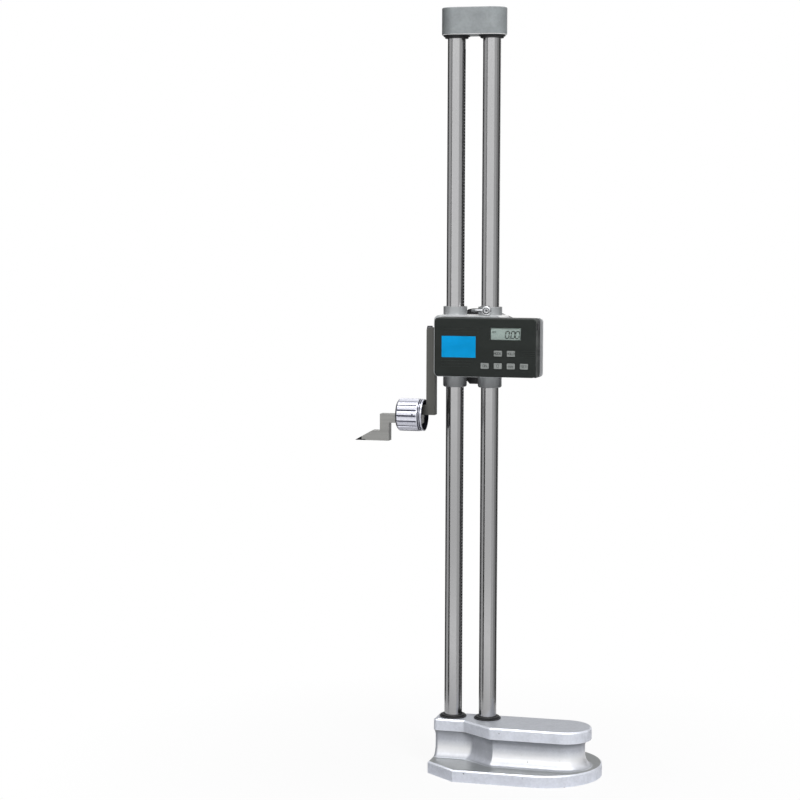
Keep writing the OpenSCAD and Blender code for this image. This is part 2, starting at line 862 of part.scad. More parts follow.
bush_sites = [
  slider_z - collar_low + bush_in,
  slider_top + collar_up - bush_in - bush_len
];
module guide_bushes() {
  color([0.72, 0.58, 0.32]) difference() {
    column_sites() for (z = bush_sites) translate([0, 0, z]) difference() {
      cylinder(r = bush_out_r, h = bush_len);
      translate([0, 0, -overrun]) cylinder(r = bush_r, h = bush_len + 2 * overrun);
    }
    bar_along_y(lock_x, lock_z, lock_hole_r, -collar_d, 0);
  }
}

module jaw_arm() {
  color([0.36, 0.36, 0.36]) difference() {
    plate_xz(bar_y0, bar_y1) polygon([
      [arm_x1, seat_z], [arm_x1, arm_top], [arm_x0 + arm_chamfer, arm_top],
      [arm_x0, arm_top - arm_chamfer], [arm_x0, seat_z + leg_h],
      [leg_x0, seat_z + leg_h], [leg_x0, seat_z]
    ]);
    for (share = arm_screw_share) {
      bar_along_x(bar_y, slider_z + arm_screw_share_z(share), arm_screw_r + seat_gap,
        arm_x0 - overrun, arm_x1 + overrun);
      bar_along_x(bar_y, slider_z + arm_screw_share_z(share), arm_head_r + slide_gap,
        arm_x0 - overrun, arm_x0 + arm_head_h + seat_gap);
    }
  }
}

module arm_screws() {
  color([0.2, 0.2, 0.22])
    for (share = arm_screw_share)
      translate([arm_x0 + seat_gap, bar_y, slider_z + arm_screw_share_z(share)]) rotate([0, 90, 0])
        socket_screw(arm_screw_r, arm_screw_len, arm_head_r, arm_head_h);
}

// The display
module mount_sites() {
  for (side = [-1, 1], share = [-1, 1])
    translate([side * mount_x, plate_y0, slider_z + slider_h / 2 + share * mount_z])
      rotate([-90, 0, 0]) children();
}

post_sites = [
  for (x = [disp_x0 + post_in_x, disp_x1 - post_in_x], z = [disp_z0 + post_in_z, disp_z1 - post_in_z])
    [x, z]
];
module display_plate() {
  color([0.66, 0.67, 0.69]) difference() {
    plate_xz(plate_y0, plate_y1)
      round_rect(-plate_left, disp_x1 + plate_right_out, disp_z0 - plate_low_out, disp_z1, plate_r);
    mount_sites() flat_screw_hole(mount_r, mount_len, mount_head_r, mount_head_h);
    for (post = post_sites) translate([post[0], plate_y1, post[1]]) rotate([90, 0, 0])
      flat_screw_hole(small_r, plate_t + overrun, small_head_r, small_head_h);
  }
}

module plate_screws() {
  color([0.7, 0.7, 0.72]) mount_sites() flat_screw(mount_r, mount_len, mount_head_r, mount_head_h);
}

module housing_screws() {
  color([0.7, 0.7, 0.72]) for (post = post_sites)
    translate([post[0], plate_y1, post[1]]) rotate([90, 0, 0])
      flat_screw(small_r, plate_t + housing_screw_in, small_head_r, small_head_h);
}

function key_x(i) = key_x0 + key_pitch_x * key_cols[i];
function key_z(i) = key_z0 + key_pitch_z * key_rows[i];

// A groove in the housing's front face
module face_line(x0, len, z, w) {
  box(x0, x0 + len, disp_y0 - overrun, disp_y0 + line_deep, z - w / 2, z + w / 2);
}

module front_housing() {
  color([0.14, 0.15, 0.15]) difference() {
    union() {
      plate_xz(disp_y0 + disp_edge, disp_y1) round_rect(disp_x0, disp_x1, disp_z0, disp_z1, disp_r);
      hull() {
        plate_xz(disp_y0, disp_y0 + slice) round_rect(disp_x0 + disp_edge, disp_x1 - disp_edge,
          disp_z0 + disp_edge, disp_z1 - disp_edge, disp_r - disp_edge, $fn = 32);
        plate_xz(disp_y0 + disp_edge, disp_y0 + disp_edge + slice)
          round_rect(disp_x0, disp_x1, disp_z0, disp_z1, disp_r, $fn = 32);
      }
    }
    difference() {
      plate_xz(disp_in_y, disp_y1 + overrun) round_rect(disp_x0 + disp_wall, disp_x1 - disp_wall,
        disp_z0 + disp_wall, disp_z1 - disp_wall, disp_r - disp_wall);
      for (post = post_sites) bar_along_y(post[0], post[1], post_r, disp_y0, disp_y1);
    }
    for (post = post_sites) bar_along_y(post[0], post[1], small_r + thread_gap,
      disp_y1 - housing_screw_in - seat_gap, disp_y1 + overrun);
    for (i = [0:1]) face_line(line_up_x0, line_up_len, line_up_z + i * line_pitch, line_w);
    for (i = [0:2]) face_line(line_x0, line_len - i * line_shorter, line_low_z - i * line_pitch, line_w);
    for (i = [0:grip_count - 1]) face_line(grip_x0, disp_w, grip_z + i * grip_pitch, grip_w);
    box(name_x0 - slide_gap, name_x0 + name_w + slide_gap, disp_y0 - overrun,
      disp_y0 + name_t - name_out, name_z0 - slide_gap, name_z0 + name_h + slide_gap);
    box(lcd_x0 - slide_gap, lcd_x0 + lcd_w + slide_gap, disp_y0 - overrun,
      disp_y0 + lcd_deep + lcd_t, lcd_z0 - slide_gap, lcd_z0 + lcd_h + slide_gap);
    box(lcd_x0 + lcd_lip, lcd_x0 + lcd_w - lcd_lip, disp_y0 - overrun, disp_in_y + overrun,
      lcd_z0 + lcd_lip, lcd_z0 + lcd_h - lcd_lip);
    for (i = [0:len(key_cols) - 1])
      box(key_x(i) - key_w / 2 - key_gap, key_x(i) + key_w / 2 + key_gap, disp_y0 - overrun,
        disp_in_y + overrun, key_z(i) - key_h / 2 - key_gap, key_z(i) + key_h / 2 + key_gap);
    box(disp_x1 - disp_wall - overrun, disp_x1 + overrun, door_y0 - door_gap, door_y1 + door_gap,
      disp_z0 - overrun, door_z1 + door_gap);
    box(disp_x1 - disp_wall / 2 - door_tongue_t / 2 - door_gap, disp_x1 - disp_wall / 2 + door_tongue_t / 2 + door_gap,
      door_y0 - door_tongue - door_gap, door_y1 + door_tongue + door_gap,
      disp_z0 - overrun, door_z1 + door_gap);
    box(disp_x1 - disp_wall - overrun, disp_x1 + overrun, cover_y0 - slide_gap,
      cover_y0 + cover_w + slide_gap, cover_z0 - slide_gap, cover_z0 + cover_h + slide_gap);
  }
}

module nameplate() {
  color([0, 0.6, 0.86])
    box(name_x0, name_x0 + name_w, disp_y0 - name_out, disp_y0 + name_t - name_out,
      name_z0, name_z0 + name_h);
}

module lcd_window() {
  color([0.7, 0.78, 0.74, 0.5])
    box(lcd_x0, lcd_x0 + lcd_w, disp_y0 + lcd_deep, disp_y0 + lcd_deep + lcd_t, lcd_z0, lcd_z0 + lcd_h);
}

module lcd_module() {
  color([0.56, 0.62, 0.58])
    box(lcd_x0 - lcd_frame, lcd_x0 + lcd_w + lcd_frame, disp_in_y, pcb_y0, lcd_z0 - lcd_frame,
      lcd_z0 + lcd_h + lcd_frame);
}

mat_z0 = key_z0 - mat_margin;
mat_z1 = key_z0 + key_pitch_z + mat_margin;
module key_mat() {
  color([0.25, 0.26, 0.27]) difference() {
    box(key_x0 - mat_margin, key_x0 + 3 * key_pitch_x + mat_margin, mat_y0, pcb_y0, mat_z0, mat_z1);
    for (post = post_sites)
      bar_along_y(post[0], post[1], post_r + slide_gap, mat_y0 - overrun, pcb_y0 + overrun);
  }
}

module circuit_board() {
  inset = disp_wall + pcb_inset;
  color([0.1, 0.38, 0.2]) {
    difference() {
      box(disp_x0 + inset, disp_x1 - inset, pcb_y0, pcb_y1, disp_z0 + inset, disp_z1 - inset);
      for (post = post_sites)
        bar_along_y(post[0], post[1], post_r + slide_gap, pcb_y0 - overrun, pcb_y1 + overrun);
    }
    box(name_x0 + chip_w, name_x0 + 2 * chip_w, pcb_y1, pcb_y1 + pcb_t, name_z0, name_z0 + chip_w);
  }
}

module battery_holder() {
  x0 = cell_x - cell_d / 2 - cell_gap - holder_wall;
  x1 = disp_x1 - disp_wall - slide_gap;
  r = cell_d / 2 + cell_gap;
  color([0.16, 0.16, 0.17]) difference() {
    box(x0, x1, pcb_y1, cell_y1 + holder_wall + contact_t, cell_z - r - holder_wall, cell_z + r + holder_wall);
    bar_along_y(cell_x, cell_z, r, cell_y0 - contact_t - slice, cell_y1 + contact_t);
    box(cell_x, x1 + overrun, cell_y0 - contact_t - slice, cell_y1 + contact_t, cell_z - r, cell_z + r);
    box(cell_x - contact_len / 2, cell_x + contact_len / 2, pcb_y1 - overrun,
      cell_y1 + holder_wall + contact_t + overrun, cell_z - contact_w / 2 - slide_gap,
      cell_z + contact_w / 2 + slide_gap);
    for (post = post_sites) bar_along_y(post[0], post[1], post_r + slide_gap, disp_y0, disp_y1);
  }
}

module battery_cell() {
  color([0.75, 0.76, 0.78]) {
    bar_along_y(cell_x, cell_z, cell_d / 2 - 2 * cell_rim, cell_y0, cell_y0 + cell_rim);
    bar_along_y(cell_x, cell_z, cell_d / 2, cell_y0 + cell_rim, cell_y1);
  }
}

module battery_contacts() {
  color([0.8, 0.7, 0.4]) {
    plate_xz_strip(pcb_y1, cell_y0);
    box(cell_x - contact_len / 2 + slide_gap, cell_x + contact_len / 2 - slide_gap, cell_y1,
      cell_y1 + contact_t, cell_z - contact_w / 2, cell_z + contact_w / 2);
  }
}

// A contact strip bent from a foot on the board to the cell
module plate_xz_strip(y0, y1) {
  x0 = cell_x - contact_len / 2 + slide_gap;
  x1 = cell_x + contact_len / 2 - slide_gap;
  bend = contact_len * 0.3;
  translate([0, 0, cell_z - contact_w / 2]) linear_extrude(height = contact_w) polygon([
    [x0, y0], [x0 + bend, y0], [x1 - bend, y1 - contact_t], [x1, y1 - contact_t], [x1, y1],
    [x1 - bend, y1], [x0 + bend, y0 + contact_t], [x0, y0 + contact_t]
  ]);
}

module data_socket() {
  x1 = disp_x1 - disp_wall - slide_gap;
  wall = socket_wall;
  y1 = cover_y0 + cover_w - wall;
  color([0.3, 0.3, 0.32]) difference() {
    box(x1 - socket_len, x1, pcb_y1, y1, cover_z0 + wall, cover_z0 + cover_h - 2 * wall);
    box(x1 - socket_len + wall, x1 + overrun, pcb_y1 + wall, y1 - wall, cover_z0 + 2 * wall,
      cover_z0 + cover_h - 3 * wall);
  }
}

// The mechanism
module bearing_screw_sites() {
  for (side = [-1, 1], z = [bearing_z0 + bearing_screw_inset, bearing_z1 - bearing_screw_inset])
    translate([side * (bearing_w / 2 - bearing_screw_inset), bearing_y0 + bearing_t, z]) children();
}

module bearing_plate() {
  color([0.6, 0.6, 0.62]) difference() {
    plate_xz(bearing_y0, bearing_y0 + bearing_t)
      round_rect(-bearing_w / 2, bearing_w / 2, bearing_z0, bearing_z1, bearing_r);
    bar_along_y(-pinion_x, feed_z, shaft_r + run_gap + shaft_bush_wall, 0, cover_y1);
    bar_along_y(pinion_x, meter_z, meter_shaft_r + run_gap + shaft_bush_wall, 0, cover_y1);
    bearing_screw_sites() rotate([90, 0, 0])
      flat_screw_hole(small_r, bearing_t + overrun, small_head_r, small_head_h);
  }
}

module bearing_plate_screws() {
  color([0.7, 0.7, 0.72]) bearing_screw_sites() rotate([90, 0, 0])
    flat_screw(small_r, bearing_t + bearing_screw_in - seat_gap, small_head_r, small_head_h);
}

module shaft_bush(x, z, r, y0, y1) {
  difference() {
    bar_along_y(x, z, r + run_gap + shaft_bush_wall, y0, y1);
    bar_along_y(x, z, r + run_gap, y0 - overrun, y1 + overrun);
  }
}

module shaft_bushes() {
  color([0.72, 0.58, 0.32]) {
    shaft_bush(-pinion_x, feed_z, shaft_r, -pocket_front - journal_deep, -pocket_front);
    shaft_bush(-pinion_x, feed_z, shaft_r, bearing_y0, rear_bush_end);
    shaft_bush(pinion_x, meter_z, meter_shaft_r, -pocket_front - journal_deep, -pocket_front);
    shaft_bush(pinion_x, meter_z, meter_shaft_r, bearing_y0, rear_bush_end);
  }
}

// A pinion on the origin's axis along Z, with a tooth towards +X
function involute(r) = tan(acos(pinion_base_r / r)) * 180 / PI - acos(pinion_base_r / r);
tooth_half = 90 / pinion_teeth - 0.25;
function flank(r) = tooth_half + involute(pinion_r) - involute(max(r, pinion_base_r * 1.0001));
module pinion_outline() {
  radii = [for (i = [0:4]) pinion_base_r + (pinion_tip_r - pinion_base_r) * i / 4];
  polygon([for (t = [0:pinion_teeth - 1])
    let (a = 360 * t / pinion_teeth, root = flank(pinion_base_r))
    each concat(
      [pinion_root_r * [cos(a - root), sin(a - root)]],
      [for (r = radii) r * [cos(a - flank(r)), sin(a - flank(r))]],
      [for (i = [len(radii) - 1:-1:0]) radii[i] * [cos(a + flank(radii[i])), sin(a + flank(radii[i]))]],
      [pinion_root_r * [cos(a + root), sin(a + root)]]
    )]);
}

module pinion(x, z, r) {
  hub_r = r + pinion_hub_wall;
  hub_len = pinion_hub_len;
  difference() {
    union() {
      translate([x, 0, z]) plate_xz(-pinion_w / 2, pinion_w / 2)
        mirror([x < 0 ? 1 : 0, 0]) pinion_outline();
      bar_along_y(x, z, hub_r, 0, pinion_w / 2 + hub_len);
    }
    bar_along_y(x, z, r + slice, -pinion_w, pinion_w + hub_len);
  }
}

module feed_pinion() {
  color([0.68, 0.66, 0.6]) pinion(-pinion_x, feed_z, shaft_r);
}

module measuring_pinion() {
  color([0.68, 0.66, 0.6]) pinion(pinion_x, meter_z, meter_shaft_r);
}

module feed_shaft() {
  color([0.7, 0.7, 0.72]) difference() {
    bar_along_y(-pinion_x, feed_z, shaft_r, shaft_y0, wheel_y0 + wheel_w - wheel_dish);
    bar_along_y(-pinion_x, feed_z, small_r + thread_gap, wheel_y0, wheel_y0 + wheel_w);
  }
}

module handwheel() {
  wheel_r = wheel_d / 2;
  edge = wheel_edge;
  color([0.13, 0.13, 0.14]) translate([-pinion_x, wheel_y0, feed_z]) rotate([-90, 0, 0]) difference() {
    union() {
      rotate_extrude() {
        translate([0, edge]) square([wheel_r, wheel_w - 2 * edge]);
        square([wheel_r - edge, wheel_w]);
        for (y = [edge, wheel_w - edge]) translate([wheel_r - edge, y]) circle(r = edge);
      }
      translate([0, 0, cover_y1 - wheel_y0 + wheel_boss_gap]) cylinder(r = wheel_boss_r, h = wheel_w / 2);
    }
    for (i = [0:wheel_scallops - 1]) rotate([0, 0, 360 * i / wheel_scallops])
      translate([wheel_r + wheel_scallop_r * 0.6, 0, -overrun])
        cylinder(r = wheel_scallop_r, h = wheel_w + 2 * overrun);
    translate([0, 0, wheel_w - wheel_dish]) cylinder(r = wheel_dish_r, h = wheel_dish + overrun);
    translate([0, 0, cover_y1 - wheel_y0]) cylinder(r = shaft_r + slice, h = wheel_w + overrun);
  }
}

module handwheel_screw() {
  y = wheel_y0 + wheel_w - wheel_dish;
  color([0.7, 0.7, 0.72]) difference() {
    union() {
      bar_along_y(-pinion_x, feed_z, wheel_screw_r, y, y + small_head_h);
      bar_along_y(-pinion_x, feed_z, small_r, wheel_y0 + overrun, y);
    }
    translate([-pinion_x, y + small_head_h, feed_z]) rotate([90, 0, 0]) hex_socket(shaft_r, small_head_h);
  }
}

module encoder_shaft() {
  color([0.7, 0.7, 0.72]) bar_along_y(pinion_x, meter_z, meter_shaft_r, shaft_y0, disc_y + disc_hub_l / 2);
}

module encoder_disc() {
  color([0.78, 0.8, 0.78]) difference() {
    union() {
      bar_along_y(pinion_x, meter_z, disc_r, disc_y, disc_y + disc_t);
      bar_along_y(pinion_x, meter_z, disc_hub_r, disc_y - disc_hub_l / 2, disc_y + disc_hub_l / 2);
    }
    bar_along_y(pinion_x, meter_z, meter_shaft_r + slice, 0, cover_y1);
  }
}

// The rear cover with the encoder's board
function rear_points(inset) =
  let (
    x0 = rear_left + inset,
    x1 = rear_right - inset,
    z0 = rear_low + inset,
    z1 = rear_top - inset,
    k = inset * (sqrt(2) - 1),
    left_up = rear_top_x0 - rear_left,
    left_low = rear_low_x0 - rear_left,
    side = inset * 0.2
  )
  [[x0, z1 - left_up + k], [x0, z0 + left_low - k], [rear_low_x0 + k, z0], [rear_low_x1 - side, z0],
    [x1, z0 + rear_low_rise + side], [x1, z1 - rear_top_drop - side], [rear_top_x1 - side, z1],
    [rear_top_x0 + k, z1]];

module rear_cover() {
  gap = rear_gap;
  color([0.12, 0.12, 0.13]) difference() {
    union() {
      difference() {
        plate_xz(slider_back, cover_y1) polygon(rear_points(0));
        plate_xz(slider_back + rear_wall, cover_y1 - rear_wall) polygon(rear_points(rear_wall));
        box(-bearing_w / 2 - gap, bearing_w / 2 + gap, slider_back - overrun, slider_back + 2 * rear_wall,
          bearing_z0 - gap, bearing_z1 + gap);
      }
      for (post = rear_posts)
        bar_along_y(post[0], slider_z + post[1], rear_post_r, slider_back, cover_y1);
      board_sites() bar_along_y(0, 0, rear_post_r / 2, board_y0 + board_t, cover_y1 - rear_wall / 2);
    }
    for (post = rear_posts) translate([post[0], cover_y1, slider_z + post[1]]) rotate([90, 0, 0])
      flat_screw_hole(rear_screw_r, cover_y1, rear_head_r, rear_head_h);
    bar_along_y(-pinion_x, feed_z, shaft_r + board_hole_gap, cover_y1 - 2 * rear_wall, cover_y1 + overrun);
  }
}

module rear_cover_screws() {
  color([0.7, 0.7, 0.72]) for (post = rear_posts)
    translate([post[0], cover_y1, slider_z + post[1]]) rotate([90, 0, 0])
      flat_screw(rear_screw_r, cover_y1 - slider_back + rear_screw_in - seat_gap, rear_head_r, rear_head_h);
}

board_z0 = bearing_z0 + board_margin;
board_z1 = bearing_z1 - board_margin;
module board_sites() {
  for (side = [-1, 1], z = [board_z0 + board_screw_inset, board_z1 - board_screw_inset])
    translate([side * (board_w / 2 - board_screw_inset), 0, z]) children();
}

module encoder_board() {
  color([0.1, 0.38, 0.2]) {
    difference() {
      box(-board_w / 2, board_w / 2, board_y0, board_y0 + board_t, board_z0, board_z1);
      bar_along_y(-pinion_x, feed_z, shaft_r + board_hole_gap, board_y0 - overrun, board_y0 + 2 * board_t);
    }
    box(pinion_x + disc_r - reader_w, pinion_x + disc_r - reader_in, disc_y + disc_t + 2 * slide_gap,
      board_y0, meter_z - reader_h / 2, meter_z + reader_h / 2);
  }
}

// The lock on the right upper collar
module lock_lever() {
  color([0.82, 0.83, 0.85]) difference() {
    union() {
      translate([lock_x, lever_y1, lock_z]) rotate([90, 0, 0]) rotate_extrude() {
        square([lever_hub_r - lever_round, lever_y1 - lever_y0]);
        square([lever_hub_r, lever_y1 - lever_y0 - lever_round]);
        translate([lever_hub_r - lever_round, lever_y1 - lever_y0 - lever_round]) circle(r = lever_round);
      }
      translate([lock_x, lever_y0 + lever_root_r, lock_z]) rotate([0, -90, 0]) {
        cylinder(r1 = lever_root_r, r2 = lever_tip_r, h = lever_len);
        translate([0, 0, lever_len]) sphere(r = lever_tip_r);
      }
    }
    bar_along_y(lock_x, lock_z, lock_head_r + slide_gap, lever_y0 - overrun, lever_y0 + 3 * lock_head_deep);
    bar_along_y(lock_x, lock_z, lock_hole_r, lever_y0, 0);
  }
}

module lock_screw() {
  r = lock_hole_r - slide_gap / 2;
  color([0.3, 0.3, 0.32]) difference() {
    union() {
      bar_along_y(lock_x, lock_z, lock_head_r, lever_y0 + lock_head_deep / 2, lever_y0 + 3 * lock_head_deep);
      bar_along_y(lock_x, lock_z, r, lever_y0 + lock_head_deep, pad_y0 - slide_gap);
    }
    translate([lock_x, lever_y0 + lock_head_deep / 2, lock_z]) rotate([-90, 0, 0])
      hex_socket(lock_head_r, 3 * lock_head_deep);
  }
}

module lock_pad() {
  color([0.75, 0.6, 0.3]) bar_along_y(lock_x, lock_z, lock_hole_r - slide_gap / 2, pad_y0, pad_y1);
}

// The six keys
module key(i) {
  y1 = disp_in_y + slide_gap;
  color([0.6, 0.63, 0.61]) translate([key_x(i), 0, key_z(i)]) {
    plate_xz(disp_y0 - key_out, y1) round_rect(-key_w / 2, key_w / 2, -key_h / 2, key_h / 2, key_corner);
    box(-key_w / 2 - key_flange, key_w / 2 + key_flange, y1, y1 + key_flange_t,
      -key_h / 2 - key_flange, key_h / 2 + key_flange);
  }
}

module battery_door() {
  x0 = disp_x1 - disp_wall;
  xm = disp_x1 - disp_wall / 2;
  color([0.16, 0.17, 0.17]) difference() {
    union() {
      box(x0, disp_x1, door_y0, door_y1, disp_z0, door_z1);
      box(xm - door_tongue_t / 2, xm + door_tongue_t / 2, door_y0 - door_tongue, door_y1 + door_tongue,
        disp_z0, door_z1);
    }
    for (i = [0:grip_count - 1])
      box(disp_x1 - line_deep, disp_x1 + overrun, door_y0 - overrun, door_y1 + overrun,
        grip_z + i * grip_pitch - grip_w / 2, grip_z + i * grip_pitch + grip_w / 2);
  }
}

module data_cover() {
  wall = cover_plug_wall;
  y1 = cover_y0 + cover_w;
  color([0.1, 0.1, 0.1]) {
    box(disp_x1 - cover_t, disp_x1 + cover_out, cover_y0, y1, cover_z0, cover_z0 + cover_h);
    box(disp_x1 - disp_wall - 2 * cover_t, disp_x1 - cover_t, pcb_y1 + 2 * wall, y1 - 2 * wall - slide_gap,
      cover_z0 + 2 * wall, cover_z0 + cover_h - 3 * wall);
  }
}

// The scriber and its clamp
module scriber_outline() {
  web_x0 = web_x1 - web_w;
  polygon([
    [-toe_x, tip_z + tip_seat_h], [-toe_x, tip_z + toe_h], [web_x0 - foot_toe, tip_z + foot_top],
    [web_x0, tip_z + foot_top], [web_x0, tip_z + scriber_h], [shank_end, tip_z + scriber_h],
    [shank_end, tip_z + scriber_h - shank_h], [web_x1, tip_z + scriber_h - shank_h],
    [web_x1, tip_z], [-toe_x + tip_seat, tip_z], [-toe_x + tip_seat, tip_z + tip_seat_h]
  ]);
}

// What is left of the scriber's width towards its tip
module tip_bevel() {
  translate([0, 0, tip_z - overrun]) linear_extrude(height = scriber_h + 2 * overrun) polygon([
    [-tip_reach - overrun, bar_y0 - overrun], [-tip_reach - overrun, bar_y0 + tip_width],
    [-tip_reach, bar_y0 + tip_width], [-tip_reach + tip_bevel_len, bar_y1],
    [0, bar_y1 + overrun], [0, bar_y0 - overrun]
  ]);
}

module scriber_body() {
  color([0.5, 0.5, 0.49]) intersection() {
    plate_xz(bar_y0, bar_y1) scriber_outline();
    tip_bevel();
  }
}

module carbide_tip() {
  color([0.12, 0.12, 0.13]) intersection() {
    plate_xz(bar_y0, bar_y1) polygon([
      [-tip_reach, tip_z], [-tip_reach, tip_z + tip_h], [-toe_x, tip_z + toe_h],
      [-toe_x, tip_z + tip_seat_h], [-toe_x + tip_seat, tip_z + tip_seat_h], [-toe_x + tip_seat, tip_z]
    ]);
    tip_bevel();
  }
}

window_half = bar_t / 2 + slide_gap;
module clamp_core() {
  color([0.4, 0.4, 0.41]) difference() {
    bar_along_x(bar_y, clamp_z, core_r, core_x0, core_x1);
    box(core_x0 - overrun, core_x1 + overrun, bar_y - window_half, bar_y + window_half,
      seat_z - shank_h - slide_gap, seat_z + leg_h);
    translate([pin_x, bar_y, clamp_z - core_r - overrun]) cylinder(r = pin_r + slide_gap / 2, h = core_r);
    difference() {
      bar_along_x(bar_y, clamp_z, core_r + overrun, core_x1 - 2 * clip_t, core_x1 - clip_t);
      bar_along_x(bar_y, clamp_z, clip_in_r, core_x1 - 2 * clip_t - overrun, core_x1);
    }
  }
}

module clamp_circlip() {
  x0 = core_x1 - 2 * clip_t + seat_gap;
  x1 = core_x1 - clip_t - seat_gap;
  color([0.25, 0.25, 0.27]) difference() {
    bar_along_x(bar_y, clamp_z, clip_r, x0, x1);
    bar_along_x(bar_y, clamp_z, clip_in_r, x0 - overrun, x1 + overrun);
    box(x0 - overrun, x1 + overrun, bar_y - clip_gap_w / 2, bar_y + clip_gap_w / 2,
      clamp_z - clip_r - overrun, clamp_z);
  }
}

// The ring's outline from its axis outwards, along X from its left end
module knob_outline() {
  r = knob_d / 2;
  band = knob_len - knob_groove - knob_rim_w;
  polygon([
    [0, 0], [0, r - knob_bevel], [knob_bevel * 0.6, r - knob_bevel * 0.25], [knob_bevel, r],
    [band, r], [band, r - knob_groove_deep],
    [band + knob_groove * 0.4, r - knob_groove_deep], [band + knob_groove * 0.45, r - knob_groove_deep / 3],
    [band + knob_groove * 0.55, r - knob_groove_deep / 3], [band + knob_groove * 0.6, r - knob_groove_deep],
    [band + knob_groove, r - knob_groove_deep], [band + knob_groove, knob_rim_r], [knob_len, knob_rim_r - knob_rim_edge],
    [knob_len, 0]
  ]);
}

module clamp_ring() {
  flute_len = knob_len * flute_len_share;
  color([0.86, 0.86, 0.9]) difference() {
    translate([knob_x0, bar_y, clamp_z]) rotate([0, 90, 0]) rotate_extrude()
      mirror([1, -1]) knob_outline();
    for (i = [0:flute_count - 1]) translate([knob_x0, bar_y, clamp_z]) rotate([360 * (i + 0.5) / flute_count, 0, 0])
      translate([0, 0, knob_d / 2 + flute_out]) {
        rotate([0, 90, 0]) translate([0, 0, -overrun]) cylinder(r = flute_r, h = flute_len + overrun, $fn = 24);
        translate([flute_len, 0, 0]) sphere(r = flute_r, $fn = 24);
      }
    bar_along_x(bar_y, clamp_z, ring_lip_r, knob_x0 - overrun, knob_x1 + overrun);
    bar_along_x(bar_y, clamp_z, ring_in_r, core_x0 - slide_gap, knob_x1 + overrun);
    bar_along_x(bar_y, clamp_z, recess_r, recess_x, knob_x1 + overrun);
    bar_along_x(bar_y, clamp_z - cam_out, ring_in_r, pin_x - cam_w / 2, pin_x + cam_w / 2);
    translate([pin_x + cam_w, bar_y, clamp_z]) rotate([84, 0, 0])
      translate([0, 0, knob_d / 2 - hole_deep]) cylinder(r = hole_r, h = hole_deep + overrun);
  }
}

module clamp_pin() {
  color([0.7, 0.7, 0.72]) translate([pin_x, bar_y, clamp_z - pin_low]) intersection() {
    cylinder(r = pin_r, h = pin_low - (clamp_z - seat_z) - shank_h - pin_lift - slide_gap / 2);
    translate([0, 0, pin_dome_r]) sphere(r = pin_dome_r);
  }
}

base_casting();
column_left();
column_right();
feed_rack();
measuring_rack();
lower_bumper_rings();
upper_bumper_rings();
top_bridge();
column_screws();
bridge_screws();
slider_casting();
guide_bushes();
jaw_arm();
arm_screws();
display_plate();
plate_screws();
front_housing();
housing_screws();
nameplate();
lcd_window();
lcd_module();
circuit_board();
key_mat();
battery_holder();
battery_cell();
battery_contacts();
data_socket();
bearing_plate();
bearing_plate_screws();
shaft_bushes();
encoder_board();
rear_cover();
rear_cover_screws();
clamp_core();
clamp_circlip();
feed_pinion();
feed_shaft();
handwheel();
handwheel_screw();
measuring_pinion();
encoder_shaft();
encoder_disc();
lock_lever();
lock_screw();
lock_pad();
key(0);  // key_mode
key(1);  // key_hold
key(2);  // key_power
key(3);  // key_zero
key(4);  // key_unit
key(5);  // key_set
battery_door();
data_cover();
scriber_body();
carbide_tip();
clamp_ring();
clamp_pin();
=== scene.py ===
import json
import math

import bmesh
import bpy
from mathutils import Matrix, Vector


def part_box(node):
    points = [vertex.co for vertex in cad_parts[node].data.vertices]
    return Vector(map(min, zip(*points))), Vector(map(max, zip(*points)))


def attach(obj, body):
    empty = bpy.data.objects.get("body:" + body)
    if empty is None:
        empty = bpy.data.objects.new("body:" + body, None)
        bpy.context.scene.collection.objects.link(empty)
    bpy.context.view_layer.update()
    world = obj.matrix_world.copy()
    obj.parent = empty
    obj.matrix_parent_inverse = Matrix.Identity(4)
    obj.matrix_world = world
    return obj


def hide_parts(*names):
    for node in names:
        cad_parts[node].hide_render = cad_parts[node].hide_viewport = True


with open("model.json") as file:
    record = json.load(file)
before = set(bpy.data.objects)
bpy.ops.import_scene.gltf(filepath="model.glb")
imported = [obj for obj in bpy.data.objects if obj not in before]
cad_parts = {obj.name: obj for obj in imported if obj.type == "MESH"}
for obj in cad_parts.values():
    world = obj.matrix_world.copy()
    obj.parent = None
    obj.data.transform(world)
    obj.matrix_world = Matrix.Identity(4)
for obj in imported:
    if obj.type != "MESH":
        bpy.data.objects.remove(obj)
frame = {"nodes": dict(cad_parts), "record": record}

MM = 0.001
MICRON = 0.000001
nodes = frame["nodes"]
bodies = frame["record"]["behaviour"]["bodies"]
body_of_node = {node: body for body, members in bodies.items() for node in members}
slot_of_node = {row["node"]: row["material_slot"] for row in frame["record"]["subparts"]}
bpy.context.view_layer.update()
scene = bpy.context.scene
scene.view_settings.view_transform = "Standard"


def middle_of(node):
    low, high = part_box(node)
    return [(a + b) / 2 for a, b in zip(low, high)]


def half_height(node):
    low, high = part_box(node)
    return (high[2] - low[2]) / 2


# Camera at the photograph's viewpoint

CAMERA_PLACE = Vector((0.47774, -2.06478, 0.56225))
CAMERA_YAW = math.radians(15.0)
CAMERA_PITCH = math.radians(4.99)
CAMERA_ROLL = math.radians(-0.19)
CAMERA_LENS = 94.72
CAMERA_SENSOR = 36
NEAREST_SEEN, FARTHEST_SEEN = 0.05, 60


